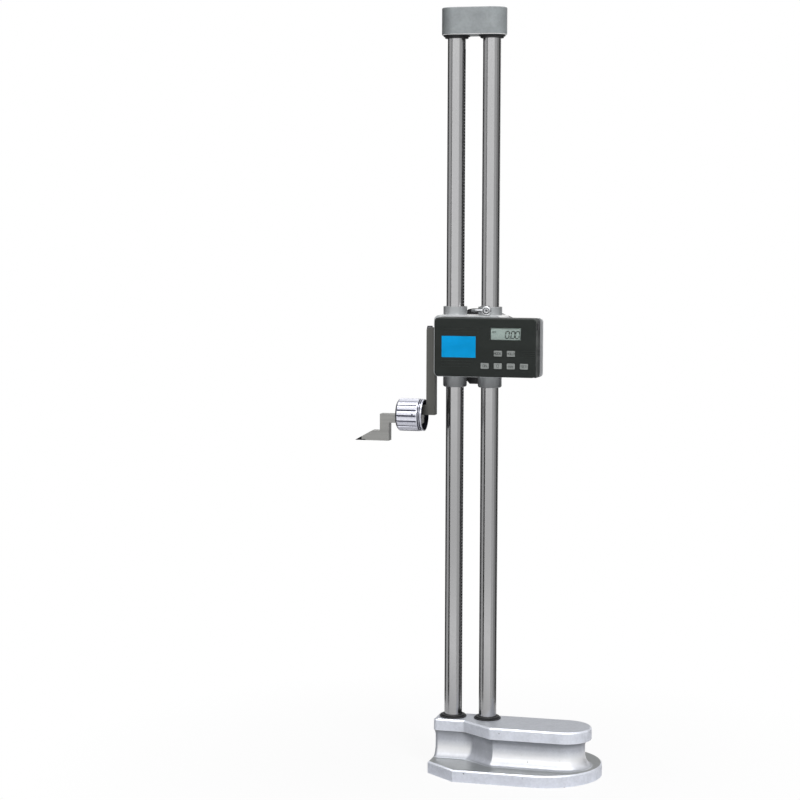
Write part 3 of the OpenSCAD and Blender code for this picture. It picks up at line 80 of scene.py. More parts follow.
def photograph_camera():
    ahead = Vector((
        -math.sin(CAMERA_YAW) * math.cos(CAMERA_PITCH),
        math.cos(CAMERA_YAW) * math.cos(CAMERA_PITCH),
        -math.sin(CAMERA_PITCH)))
    level = Vector((math.cos(CAMERA_YAW), math.sin(CAMERA_YAW), 0))
    down = ahead.cross(level)
    right = level * math.cos(CAMERA_ROLL) + down * math.sin(CAMERA_ROLL)
    down = down * math.cos(CAMERA_ROLL) - level * math.sin(CAMERA_ROLL)
    data = bpy.data.cameras.new("photograph_camera")
    data.lens = CAMERA_LENS
    data.sensor_width = CAMERA_SENSOR
    data.clip_start = NEAREST_SEEN
    data.clip_end = FARTHEST_SEEN
    camera = bpy.data.objects.new("photograph_camera", data)
    turn = Matrix((right, -down, -ahead)).transposed()
    camera.matrix_world = Matrix.Translation(CAMERA_PLACE) @ turn.to_4x4()
    scene.collection.objects.link(camera)
    scene.camera = camera


photograph_camera()


# Shader building blocks

WHITE = (1.0, 1.0, 1.0, 1.0)
MIX_COLOUR_SOCKETS = (0, 6, 7)
MIX_COLOUR_RESULT = 2


def linear(red, green, blue):
    """A colour written in 0 to 255 display values, as the linear values that shaders take."""
    def one(value):
        value = value / 255
        return value / 12.92 if value <= 0.04045 else ((value + 0.055) / 1.055) ** 2.4
    return (one(red), one(green), one(blue), 1.0)


def toned(colour, times, plus=0.0):
    """The colour made darker or lighter."""
    return tuple(channel * times + plus for channel in colour[:3]) + (1.0,)


class Wiring:
    """Adds nodes to one node tree and links them. A value is a number, a colour or another node's socket."""

    def __init__(self, tree):
        self.tree = tree

    def fill(self, socket, value):
        if isinstance(value, bpy.types.NodeSocket):
            self.tree.links.new(value, socket)
        else:
            socket.default_value = value

    def add(self, kind, settings=None, **inputs):
        node = self.tree.nodes.new("ShaderNode" + kind)
        for name, value in (settings or {}).items():
            setattr(node, name, value)
        for name, value in inputs.items():
            self.fill(node.inputs[name.replace("_", " ")], value)
        return node

    def calculate(self, kind, operation, *values):
        node = self.add(kind, {"operation": operation})
        for socket, value in zip(node.inputs, values):
            self.fill(socket, value)
        return node.outputs

    def maths(self, operation, *values):
        return self.calculate("Math", operation, *values)[0]

    def times(self, first, second):
        return self.maths("MULTIPLY", first, second)

    def plus(self, first, second):
        return self.maths("ADD", first, second)

    def minus(self, first, second):
        return self.maths("SUBTRACT", first, second)

    def most(self, first, second):
        return self.maths("MAXIMUM", first, second)

    def spread(self, value, low, high, to_low=0.0, to_high=1.0):
        """Turns the range from low to high into the range from to_low to to_high, and holds its ends."""
        node = self.add("MapRange", {"clamp": True}, Value=value,
                        From_Min=low, From_Max=high, To_Min=to_low, To_Max=to_high)
        return node.outputs["Result"]

    def fade(self, value, low, high):
        """1 up to low, 0 from high on."""
        return self.spread(value, low, high, 1.0, 0.0)

    def blend(self, share, first, second):
        node = self.add("Mix", {"data_type": "RGBA"})
        for index, value in zip(MIX_COLOUR_SOCKETS, (share, first, second)):
            self.fill(node.inputs[index], value)
        return node.outputs[MIX_COLOUR_RESULT]

    def place(self, scale=(1.0, 1.0, 1.0)):
        """Object coordinates in metres, stretched."""
        coordinates = self.add("TexCoord").outputs["Object"]
        return self.add("Mapping", Vector=coordinates, Scale=scale).outputs["Vector"]

    def place_along(self, axis):
        return self.add("SeparateXYZ", Vector=self.place()).outputs[axis]

    def facing(self, axis):
        """How far the surface faces along an axis, from -1 to 1."""
        return self.add("SeparateXYZ", Vector=self.add("NewGeometry").outputs["Normal"]).outputs[axis]

    def noise(self, scale, detail, roughness=0.5, at=None):
        place = self.place() if at is None else at
        clouds = self.add("TexNoise", Vector=place, Scale=scale, Detail=detail, Roughness=roughness)
        return clouds.outputs["Fac"]

    def radius(self, across, upward):
        """The distance from an axis, out of the two distances square to it."""
        return self.maths("SQRT", self.plus(self.times(across, across), self.times(upward, upward)))


def new_group(name, inputs, outputs):
    """A node group whose inputs have these names and values, and whose outputs are numbers."""
    tree = bpy.data.node_groups.new(name, "ShaderNodeTree")
    for label, value in inputs.items():
        kind = "NodeSocketVector" if isinstance(value, tuple) else "NodeSocketFloat"
        tree.interface.new_socket(name=label, in_out="INPUT", socket_type=kind).default_value = value
    for label in outputs:
        tree.interface.new_socket(name=label, in_out="OUTPUT", socket_type="NodeSocketFloat")
    wiring = Wiring(tree)
    wiring.given = tree.nodes.new("NodeGroupInput").outputs
    wiring.results = tree.nodes.new("NodeGroupOutput").inputs
    return wiring


def put_out(wiring, **values):
    for name, value in values.items():
        wiring.fill(wiring.results[name], value)
    return wiring.tree


def build_edge_group():
    """Edges for wear and a painted highlight that catches the light: where a rounded normal leaves the true
    one.
    """
    w = new_group("edge_catch", {"Width": 0.6 * MM, "Breakup": 0.5}, ["Mask"])
    rounded = w.add("Bevel", {"samples": 4}, Radius=w.given["Width"]).outputs["Normal"]
    actual = w.add("NewGeometry").outputs["Normal"]
    alike = w.calculate("VectorMath", "DOT_PRODUCT", rounded, actual)["Value"]
    edge = w.spread(w.minus(1.0, alike), 0.01, 0.16)
    worn = w.spread(w.noise(scale=420.0, detail=3.0), 0.35, 0.62)
    kept = w.minus(1.0, w.times(w.given["Breakup"], w.minus(1.0, worn)))
    return put_out(w, Mask=w.times(edge, kept))


def build_cast_group():
    """A painted casting's skin: orange peel, shallow pits in patches and slow changes of tone."""
    w = new_group("cast_skin", {"Pits": 1.0}, ["Height", "Tone", "Pit"])
    peel = w.noise(scale=380.0, detail=2.5)
    swell = w.noise(scale=70.0, detail=3.0, roughness=0.55)
    cells = w.add("TexVoronoi", Vector=w.place(), Scale=150.0)
    spots = w.fade(cells.outputs["Distance"], 0.05, 0.16)
    patches = w.spread(w.noise(scale=45.0, detail=2.0), 0.58, 0.66)
    pit = w.times(w.times(spots, patches), w.given["Pits"])
    height = w.minus(w.plus(w.times(peel, 0.35), w.times(swell, 1.2)), pit)
    tone = w.plus(w.times(swell, 0.6), w.times(peel, 0.4))
    return put_out(w, Height=height, Tone=w.spread(tone, 0.36, 0.64), Pit=pit)


def build_hollow_group():
    """Hollows that get painted shade, and level tops and closed corners that get dust and painted shade."""
    w = new_group("hollows_and_tops", {"Reach": 20 * MM}, ["Hollow", "Closed", "Level"])
    open_air = w.add("AmbientOcclusion", {"samples": 6, "only_local": True}, Distance=w.given["Reach"])
    closed = w.fade(open_air.outputs["AO"], 0.55, 1.0)
    upward = w.facing("Z")
    not_level = w.fade(upward, 0.05, 0.5)
    return put_out(w, Hollow=w.times(closed, not_level), Closed=closed, Level=w.spread(upward, 0.82, 0.99))


# Heights of the painted light and shade on the waist's flare, as shares of Low
FLARE_START = 0.62
GLOW_FULL_FROM = 0.95
GLOW_FULL_TO = 1.1
GLOW_END = 1.5


def build_waist_group():
    """Bands by height in the base's waist: painted shade that grows up to the cap's underside (High), painted
    light on the flare (Low), painted shade on faces turned left and where the flare meets the foot, and a
    mask of all below Low."""
    w = new_group("under_the_cap", {"Low": 20 * MM, "High": 40 * MM},
                  ["Shade", "Foot", "Glow", "Turned", "Root"])
    low, high = w.given["Low"], w.given["High"]
    foot_top = w.times(low, FLARE_START)
    height = w.place_along("Z")
    below_cap = w.maths("LESS_THAN", height, high)
    above_foot = w.maths("GREATER_THAN", height, foot_top)
    # Faces turned left get painted shade and no painted light
    turned_left = w.fade(w.facing("X"), -0.45, -0.15)
    rising = w.spread(height, foot_top, w.times(low, GLOW_FULL_FROM))
    fading = w.fade(height, w.times(low, GLOW_FULL_TO), w.times(low, GLOW_END))
    lit = w.times(fading, w.minus(1.0, turned_left))
    return put_out(w,
                   Shade=w.times(w.spread(height, low, high), below_cap),
                   Foot=w.maths("LESS_THAN", height, low),
                   Glow=w.times(rising, lit),
                   Turned=w.times(w.times(above_foot, below_cap), turned_left),
                   Root=w.times(w.minus(1.0, rising), above_foot))


def build_grain_group():
    """Fine parallel lines left by grinding or turning, along the axes that have small numbers in Stretch."""
    w = new_group("ground_lines", {"Stretch": (900.0, 900.0, 12.0)}, ["Height", "Tone"])
    coordinates = w.add("TexCoord").outputs["Object"]
    stretched = w.calculate("VectorMath", "MULTIPLY", coordinates, w.given["Stretch"])["Vector"]
    lines = w.noise(scale=1.0, detail=3.0, roughness=0.6, at=stretched)
    slow = w.noise(scale=0.13, detail=2.0, at=stretched)
    tone = w.plus(w.times(lines, 0.6), w.times(slow, 0.4))
    return put_out(w, Height=lines, Tone=w.spread(tone, 0.35, 0.65))


def build_mould_group():
    """The fine spark-eroded texture of a moulding, with faint handling marks."""
    w = new_group("mould_texture", {"Scale": 1500.0}, ["Height", "Handled"])
    grain = w.noise(scale=w.given["Scale"], detail=2.0)
    smears = w.noise(scale=38.0, detail=4.0, roughness=0.6, at=w.place((1.0, 1.0, 2.2)))
    return put_out(w, Height=grain, Handled=w.spread(smears, 0.38, 0.66))


def build_handling_group():
    """Light dust and oil that sits unevenly."""
    w = new_group("handling", {"Scale": 30.0}, ["Mask"])
    cloud = w.noise(scale=w.given["Scale"], detail=5.0, roughness=0.62)
    return put_out(w, Mask=w.spread(cloud, 0.36, 0.68))


EDGE = build_edge_group()
CAST = build_cast_group()
HOLLOW = build_hollow_group()
WAIST = build_waist_group()
GRAIN = build_grain_group()
MOULD = build_mould_group()
HANDLING = build_handling_group()


# Finishes

def new_material(name):
    material = bpy.data.materials.new(name)
    material.use_nodes = True
    material.node_tree.nodes.clear()
    wiring = Wiring(material.node_tree)
    wiring.material = material
    wiring.shader = wiring.add("BsdfPrincipled")
    wiring.output = wiring.add("OutputMaterial")
    wiring.fill(wiring.output.inputs["Surface"], wiring.shader.outputs[0])
    return wiring


def use_group(wiring, group, **inputs):
    node = wiring.add("Group", {"node_tree": group}, **inputs)
    return node.outputs


def set_shader(wiring, **values):
    for name, value in values.items():
        wiring.fill(wiring.shader.inputs[name.replace("_", " ")], value)


def raise_surface(wiring, height, distance):
    bump = wiring.add("Bump", Height=height, Distance=distance, Strength=1.0)
    set_shader(wiring, Normal=bump.outputs["Normal"])


# How much of each effect shows in the paint on the castings
PIT_SHARE = 0.75
# Painted shade under the cap, on faces turned left and at the flare's root, and painted light on the flare
CAP_SHADE = 0.8
TURNED_SHADE = 0.45
ROOT_SHADE = 0.6
GLOW_SHARE = 0.7
# Dust and painted shade on tops, in closed corners and on the foot
DUST_AND_SHADE_ON_TOPS = 0.2
DUST_AND_SHADE_IN_HOLLOWS = 0.75
DUST_AND_SHADE_ON_FOOT = 0.95
# Share of edge wear and painted highlight on the castings' edges
WORN_AND_LIT_EDGE = 0.7

# Painted shade at the bottom of ground metal, and how dark it gets
SHADE_AT_BOTTOM = 0.42
# Share of painted light on the bottoms of the grooves in a moulded front
PAINTED_LIGHT_IN_GROOVES = 0.8


def cast_paint(name, colour, edge_colour, pits, rough, metallic, depth, waist=None, lower_edge=None):
    """Silver or grey paint on a casting, with grime in pits, painted shade in hollows, dust and painted shade
    on tops, and edges lightened by wear and painted highlight.

    waist gives the heights of the painted light on the waist's flare and of the cap's underside, up to which
    painted shade grows. lower_edge is the colour of the painted highlight on a slanted edge that faces down."""
    w = new_material(name)
    skin = use_group(w, CAST, Pits=pits)
    edge = use_group(w, EDGE, Width=1.1 * MM, Breakup=0.3)
    hollow = use_group(w, HOLLOW, Reach=22 * MM)
    # Dark colour for grime in pits and for painted shade
    grime_and_shade = toned(colour, 0.22)
    # Darker colour for dust and painted shade on level tops
    dust_and_shade_tone = toned((colour[0], colour[1], colour[1]), 0.4)
    paint = w.blend(skin["Tone"], toned(colour, 0.84), colour)
    paint = w.blend(w.times(skin["Pit"], PIT_SHARE), paint, grime_and_shade)
    # Painted shade in hollows
    shade = hollow["Hollow"]
    dust_and_shade = w.plus(w.times(hollow["Closed"], DUST_AND_SHADE_IN_HOLLOWS), DUST_AND_SHADE_ON_TOPS)
    if waist:
        under = use_group(w, WAIST, Low=waist[0], High=waist[1])
        # Painted shade under the cap, on faces turned left and at the flare's root; dust and painted shade on
        # the foot
        shade = w.most(w.times(shade, CAP_SHADE), w.times(under["Shade"], CAP_SHADE))
        shade = w.most(shade, w.times(under["Turned"], TURNED_SHADE))
        shade = w.most(shade, w.times(under["Root"], ROOT_SHADE))
        dust_and_shade = w.most(dust_and_shade, w.times(under["Foot"], DUST_AND_SHADE_ON_FOOT))
    # Painted shade, in the grime colour
    paint = w.blend(shade, paint, grime_and_shade)
    if waist:
        # Painted light: a white band on the waist's flare
        paint = w.blend(w.times(under["Glow"], GLOW_SHARE), paint, WHITE)
    # Dust and painted shade on level tops
    paint = w.blend(w.times(hollow["Level"], dust_and_shade), paint, dust_and_shade_tone)
    # Edges lightened by wear and painted highlight
    paint = w.blend(w.times(edge["Mask"], WORN_AND_LIT_EDGE), paint, edge_colour)
    if lower_edge:
        # Painted highlight on a slanted edge that faces down
        upward = w.facing("Z")
        rim = w.times(w.fade(upward, -0.55, -0.2), w.spread(upward, -0.98, -0.9))
        paint = w.blend(rim, paint, lower_edge)
    set_shader(w, Base_Color=paint, Metallic=metallic,
               Roughness=w.spread(skin["Tone"], 0.0, 1.0, rough + 0.07, rough - 0.05))
    raise_surface(w, skin["Height"], depth)
    return w.material


def ground_metal(name, colour, stretch, rough, edge_wear_and_highlight=0.4, line=4 * MICRON, contrast=0.2, metallic=1.0,
                 edge_width=0.5 * MM, tops=None, fall=None, handled=0.06):
    """Ground or machined metal with fine lines, edges lightened by wear and painted highlight, and uneven
    handling.

    tops is the colour of the painted light on what faces up. fall gives the heights between which painted
    shade at the bottom fades."""
    w = new_material(name)
    grain = use_group(w, GRAIN, Stretch=stretch)
    cloud = use_group(w, HANDLING, Scale=26.0)
    edge = use_group(w, EDGE, Width=edge_width, Breakup=0.5)
    bright = tuple(min(1.0, channel) for channel in toned(colour, 1.35, 0.06))
    metal = w.blend(grain["Tone"], toned(colour, 1 - contrast), colour)
    # Edges lightened by wear and painted highlight
    metal = w.blend(w.times(edge["Mask"], edge_wear_and_highlight), metal, bright)
    # Painted shade, darker towards the bottom
    if fall:
        shade = w.spread(w.place_along("Z"), fall[0], fall[1], SHADE_AT_BOTTOM, 0.0)
        metal = w.blend(shade, metal, toned(colour, 0.3))
    # Painted light on what faces up
    if tops:
        metal = w.blend(w.spread(w.facing("Z"), 0.35, 0.8), metal, tops)
    ground = w.spread(grain["Tone"], 0.0, 1.0, rough + 0.05, rough - 0.03)
    gloss = w.plus(ground, w.times(cloud["Mask"], handled))
    set_shader(w, Base_Color=metal, Metallic=metallic, Roughness=gloss)
    raise_surface(w, grain["Height"], line)
    return w.material


def moulded(name, colour, rough, scale=1500.0, depth=12 * MICRON, edge_wear_and_highlight=0.35, edge_width=0.5 * MM, shine=0.5,
            front=None):
    """Moulded plastic or rubber, with edges lightened by wear and painted highlight, and handling marks.

    front is the place of the front face. The bottoms of the shallow grooves in it are lighter with painted
    light."""
    w = new_material(name)
    texture = use_group(w, MOULD, Scale=scale)
    edge = use_group(w, EDGE, Width=edge_width, Breakup=0.55)
    lighter = toned(colour, 1.9, 0.012)
    plastic = w.blend(texture["Handled"], colour, toned(colour, 1.18, 0.002))
    # Edges lightened by wear and painted highlight
    plastic = w.blend(w.times(edge["Mask"], edge_wear_and_highlight), plastic, lighter)
    if front is not None:
        # Painted light on the bottoms of the shallow grooves in the front
        depth_in = w.minus(w.place_along("Y"), front)
        sunk = w.times(w.spread(depth_in, 0.1 * MM, 0.3 * MM), w.fade(depth_in, 0.9 * MM, 1.2 * MM))
        sunk = w.times(sunk, w.fade(w.facing("Y"), -0.95, -0.6))
        plastic = w.blend(w.times(sunk, PAINTED_LIGHT_IN_GROOVES), plastic, lighter)
    set_shader(w, Base_Color=plastic, Metallic=0.0, IOR=1.48, Specular_IOR_Level=shine,
               Roughness=w.spread(texture["Handled"], 0.0, 1.0, rough, rough - 0.1))
    raise_surface(w, texture["Height"], depth)
    return w.material


def plain_board(name, colour):
    """A circuit board with square tracks."""
    w = new_material(name)
    tracks = w.add("TexVoronoi", {"feature": "DISTANCE_TO_EDGE", "distance": "MANHATTAN"},
                   Vector=w.place(), Scale=420.0)
    line = w.fade(tracks.outputs["Distance"], 0.03, 0.06)
    set_shader(w, Base_Color=w.blend(line, colour, toned(colour, 1.8)), Roughness=0.35, IOR=1.5)
    raise_surface(w, line, 30 * MICRON)
    return w.material


def window_glass(name):
    w = new_material(name)
    cloud = use_group(w, HANDLING, Scale=60.0)
    set_shader(w, Base_Color=linear(190, 200, 194), Metallic=0.0, IOR=1.45, Alpha=0.06,
               Roughness=w.spread(cloud["Mask"], 0.0, 1.0, 0.03, 0.09))
    return w.material


def fluted_chrome(name, colour, recess_colour, axis_y, axis_z, crest, depth):
    """Bright turned metal whose flutes and grooves, which lie nearer the axis, hold painted shade and grime.
    """
    w = new_material(name)
    grain = use_group(w, GRAIN, Stretch=(900.0, 60.0, 60.0))
    edge = use_group(w, EDGE, Width=0.4 * MM, Breakup=0.25)
    radius = w.radius(w.minus(w.place_along("Y"), axis_y), w.minus(w.place_along("Z"), axis_z))
    sunk = w.fade(radius, crest - depth, crest - 0.12 * MM)
    metal = w.blend(grain["Tone"], toned(colour, 0.93), colour)
    # Painted shade and grime in the flutes
    metal = w.blend(sunk, metal, recess_colour)
    # Edges lightened by wear and painted highlight
    metal = w.blend(w.times(edge["Mask"], 0.35), metal, POLISHED_AND_LIT_EDGE)
    turned = w.spread(grain["Tone"], 0.0, 1.0, 0.2, 0.15)
    set_shader(w, Base_Color=metal, Metallic=0.9, Roughness=w.plus(turned, w.times(sunk, 0.2)))
    raise_surface(w, grain["Height"], 2 * MICRON)
    return w.material


def lever_metal(name, colour, dark, axis_x, axis_z, head):
    """Bright metal with painted shade: a dark ring round the screw's head, a dark socket, and dark edges
    along the arm and towards its tip, which leave a painted highlight streak along it.
    """
    w = new_material(name)
    grain = use_group(w, GRAIN, Stretch=CROSSWISE)
    edge = use_group(w, EDGE, Width=0.3 * MM, Breakup=0.3)
    upward = w.minus(w.place_along("Z"), axis_z)
    radius = w.radius(w.minus(w.place_along("X"), axis_x), upward)
    ring = w.fade(w.maths("ABSOLUTE", w.minus(radius, head)), 0.25 * MM, 0.6 * MM)
    socket = w.fade(radius, 0.9 * MM, 1.3 * MM)
    on_arm = w.spread(radius, head + 1.6 * MM, head + 2.4 * MM)
    off_line = w.spread(w.maths("ABSOLUTE", w.minus(upward, 0.5 * MM)), 0.1 * MM, 0.9 * MM)
    off_line = w.most(off_line, w.spread(radius, 9 * MM, 12 * MM, 0.0, 0.9))
    # Painted shade round the head, in the socket and on the arm, which leaves a painted highlight streak
    shaded = w.most(w.most(ring, socket), w.times(on_arm, off_line))
    metal = w.blend(grain["Tone"], toned(colour, 0.93), colour)
    metal = w.blend(w.times(shaded, 0.9), metal, dark)
    # Edges lightened by wear and painted highlight
    metal = w.blend(w.times(edge["Mask"], 0.25), metal, POLISHED_AND_LIT_EDGE)
    set_shader(w, Base_Color=metal, Metallic=1.0,
               Roughness=w.spread(grain["Tone"], 0.0, 1.0, 0.22, 0.14))
    return w.material


# Stretches of the fine lines on ground metal
UPRIGHT = (700.0, 700.0, 9.0)
ROUND_COLUMN = (260.0, 260.0, 1400.0)
CROSSWISE = (12.0, 900.0, 900.0)
FACE_LINES = (30.0, 900.0, 700.0)

# Near-white edge colour of bright metal, for wear and painted highlight
POLISHED_AND_LIT_EDGE = linear(250, 250, 252)
# Colour of the painted light on upward faces
LIT_TOP = linear(252, 252, 252)

BASE_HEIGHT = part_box("base_casting")[1][2]
FLARE_LIGHT = 0.4 * BASE_HEIGHT
CAP_UNDERSIDE = 0.7755 * BASE_HEIGHT
SLIDER_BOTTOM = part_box("slider_casting")[0][2]
HOUSING_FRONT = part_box("front_housing")[0][1]
LEVER_AXIS = middle_of("lock_screw")
LEVER_HEAD = half_height("lock_screw")
RING_AXIS = middle_of("clamp_ring")
RING_CREST = half_height("clamp_ring") - 0.15 * MM
FLUTE_DEPTH = 0.5 * MM

MATERIALS = {
    "base_paint": cast_paint(
        "silver_casting_paint", linear(234, 238, 248), linear(252, 253, 255), pits=2.2, rough=0.34,
        metallic=0.45, depth=200 * MICRON, waist=(FLARE_LIGHT, CAP_UNDERSIDE)),
    "ground_steel": ground_metal(
        "ground_column_steel", linear(188, 188, 189), ROUND_COLUMN, rough=0.13, line=0.4 * MICRON,
        contrast=0.03, handled=0.01),
    "rack_steel": ground_metal("cut_rack_steel", linear(120, 120, 122), CROSSWISE, rough=0.34),
    "bumper_rubber": moulded("black_bumper_rubber", linear(26, 26, 28), rough=0.6, scale=1100.0),
    # Bridge paint, with a painted highlight on its lower edge
    "bridge_paint": cast_paint(
        "grey_bridge_paint", linear(146, 151, 153), linear(214, 218, 220), pits=0.3, rough=0.5,
        metallic=0.35, depth=60 * MICRON, lower_edge=WHITE),
    "black_steel": ground_metal("blackened_screw_steel", linear(62, 62, 66), CROSSWISE, rough=0.36),
    "screw_steel": ground_metal("plated_screw_steel", linear(176, 176, 180), CROSSWISE, rough=0.3),
    "slider_alloy": ground_metal(
        "slider_alloy", linear(172, 175, 177), FACE_LINES, rough=0.42, edge_wear_and_highlight=0.8, contrast=0.1, metallic=0.6,
        edge_width=1.2 * MM, tops=LIT_TOP, fall=(SLIDER_BOTTOM + 2 * MM, SLIDER_BOTTOM + 10 * MM)),
    "bronze": ground_metal("bearing_bronze", linear(178, 142, 92), CROSSWISE, rough=0.36),
    "jaw_steel": ground_metal(
        "dark_jaw_steel", linear(100, 100, 97), UPRIGHT, rough=0.46, edge_wear_and_highlight=0.6, contrast=0.16),
    "plate_alloy": ground_metal(
        "display_plate_alloy", linear(176, 178, 180), FACE_LINES, rough=0.38, edge_wear_and_highlight=0.8, contrast=0.1,
        metallic=0.6, edge_width=1.2 * MM, tops=LIT_TOP),
    "housing_plastic": moulded(
        "dark_housing_plastic", linear(28, 32, 30), rough=0.5, edge_wear_and_highlight=0.5, shine=0.22, front=HOUSING_FRONT),
    "nameplate_blue": moulded(
        "bare_blue_plate", linear(0, 143, 204), rough=0.42, scale=2600.0, depth=3 * MICRON, edge_wear_and_highlight=0.12,
        shine=0.12),
    "lcd_glass": window_glass("readout_window"),
    "lcd_cell": moulded(
        "grey_green_readout", linear(150, 165, 160), rough=0.5, scale=3000.0, depth=2 * MICRON, edge_wear_and_highlight=0.0,
        shine=0.2),
    "board_green": plain_board("green_board", linear(28, 92, 52)),
    "key_rubber": moulded(
        "light_grey_key", linear(132, 136, 134), rough=0.5, scale=2200.0, depth=6 * MICRON, edge_wear_and_highlight=0.5,
        edge_width=0.4 * MM, shine=0.3),
    "mat_rubber": moulded("dark_rubber", linear(36, 36, 38), rough=0.62),
    "moulding_black": moulded("plain_black_moulding", linear(34, 34, 35), rough=0.5),
    "cell_steel": ground_metal("coin_cell_steel", linear(190, 190, 192), CROSSWISE, rough=0.3),
    "contact_metal": ground_metal("contact_strip", linear(204, 184, 132), CROSSWISE, rough=0.26),
    "cover_black": moulded("black_rear_cover", linear(32, 32, 34), rough=0.5, scale=1300.0, edge_wear_and_highlight=0.45),
    "wheel_plastic": moulded("black_handwheel", linear(36, 36, 38), rough=0.44, scale=1600.0, edge_wear_and_highlight=0.5),
    "disc_plate": moulded("encoder_plate", linear(196, 200, 196), rough=0.3, scale=2400.0),
    "lever_chrome": lever_metal(
        "bright_lever_chrome", linear(206, 208, 211), linear(52, 55, 56), LEVER_AXIS[0], LEVER_AXIS[2],
        LEVER_HEAD),
    "ring_chrome": fluted_chrome(
        "clamp_ring_chrome", linear(232, 233, 245), linear(62, 64, 76), RING_AXIS[1], RING_AXIS[2],
        RING_CREST, FLUTE_DEPTH),
    "core_steel": ground_metal("clamp_core_steel", linear(126, 126, 128), CROSSWISE, rough=0.32),
    "scriber_steel": ground_metal(
        "scriber_steel", linear(160, 160, 158), CROSSWISE, rough=0.42, edge_wear_and_highlight=0.7, contrast=0.12),
    "carbide": ground_metal("ground_carbide", linear(44, 44, 46), CROSSWISE, rough=0.3),
}
SEGMENT_INK = moulded(
    "readout_segments", linear(38, 48, 44), rough=0.5, scale=3000.0, depth=1 * MICRON, edge_wear_and_highlight=0.0, shine=0.2)
KEY_INK = moulded(
    "key_lettering", linear(40, 44, 42), rough=0.55, scale=3000.0, depth=1 * MICRON, edge_wear_and_highlight=0.2, shine=0.2)


# Pieces made from the CAD solids, with whole faces and rounded edges

SAME_POINT = 0.002 * MM
SAME_PLANE = math.radians(0.4)
EDGE_ANGLE = math.radians(30.0)
EDGE_SEGMENTS = 3
SMOOTH_BELOW = math.radians(36.0)
LETTER_SMOOTH_BELOW = math.radians(30.0)
CAP_EDGE_DEPTH = 1.2 * MM

# How far the rounding of each piece's edges reaches, in millimetres
ROUNDED = {
    "base_casting": 0.35, "top_bridge": 1.0, "jaw_arm": 0.3, "scriber_body": 0.25, "carbide_tip": 0.05,
    "display_plate": 0.9, "front_housing": 0.18, "nameplate": 0.12, "battery_door": 0.12, "data_cover": 0.25,
    "rear_cover": 0.8, "clamp_ring": 0.16, "clamp_core": 0.3, "lock_lever": 0.2, "lock_screw": 0.15,
    "handwheel": 0.4, "slider_casting": 0.7, "arm_screws": 0.2, "bridge_screws": 0.25, "column_screws": 0.25,
    "key_mode": 0.35, "key_hold": 0.35, "key_power": 0.35, "key_zero": 0.35, "key_unit": 0.35,
    "key_set": 0.35, "handwheel_screw": 0.2, "rear_cover_screws": 0.1, "clamp_circlip": 0.08,
}


def smooth_by_angle(mesh, angle):
    if "custom_normal" in mesh.attributes:
        mesh.attributes.remove(mesh.attributes["custom_normal"])
    for face in mesh.polygons:
        face.use_smooth = True
    mesh.set_sharp_from_angle(angle=angle)


def add_piece(name, work, body, slot_name, angle=SMOOTH_BELOW, weighted=True):
    """Turns a finished bmesh into a piece that rides on a body in that slot's finish."""
    mesh = bpy.data.meshes.new(name)
    work.to_mesh(mesh)
    work.free()
    smooth_by_angle(mesh, angle)
    mesh.materials.clear()
    mesh.materials.append(MATERIALS[slot_name])
    piece = bpy.data.objects.new(name, mesh)
    scene.collection.objects.link(piece)
    if weighted:
        weigh = piece.modifiers.new("weighted_normals", "WEIGHTED_NORMAL")
        weigh.keep_sharp = True
    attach(piece, body)
    return piece


def merged_copy(node):
    """The node's triangles as whole faces, in a bmesh."""
    work = bmesh.new()
    work.from_mesh(nodes[node].data)
    bmesh.ops.remove_doubles(work, verts=work.verts, dist=SAME_POINT)
    bmesh.ops.dissolve_limit(work, angle_limit=SAME_PLANE, use_dissolve_boundaries=False,
                             verts=work.verts, edges=work.edges, delimit={"NORMAL"})
    return work


def round_edges(work, reach):
    edges = [edge for edge in work.edges
             if len(edge.link_faces) == 2 and edge.calc_face_angle(0.0) > EDGE_ANGLE]
    bmesh.ops.bevel(work, geom=edges, offset=reach, offset_type="OFFSET", segments=EDGE_SEGMENTS,
                    profile=0.5, affect="EDGES", clamp_overlap=True, material=-1)


def straighten_cap_edge(work):
    """Makes the two narrow faces along the cap's upper edge one slanted face, which catches the light."""
    top = max(vert.co.z for vert in work.verts)
    near_top = {round(vert.co.z, 6) for vert in work.verts if vert.co.z > top - CAP_EDGE_DEPTH}
    lower = sorted(height for height in near_top if height < top - 0.1 * MM)
    if lower:
        ring = [edge for edge in work.edges
                if all(abs(vert.co.z - lower[0]) < 0.01 * MM for vert in edge.verts)]
        bmesh.ops.dissolve_edges(work, edges=ring, use_verts=True)


def finished(node):
    work = merged_copy(node)
    if node == "base_casting":
        straighten_cap_edge(work)
    round_edges(work, ROUNDED[node] * MM)
    piece = add_piece(node + "_finished", work, body_of_node[node], slot_of_node[node])
    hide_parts(node)
    return piece


for node_name in nodes:
    if node_name in ROUNDED:
        piece = finished(node_name)
        if node_name == "lock_screw":
            piece.data.materials[0] = MATERIALS["lever_chrome"]
    else:
        shown = nodes[node_name]
        shown.data.materials.clear()
        shown.data.materials.append(MATERIALS[slot_of_node[node_name]])


# Lettering drawn as thin raised strokes: a readout of 0.00 and plain words on the keys

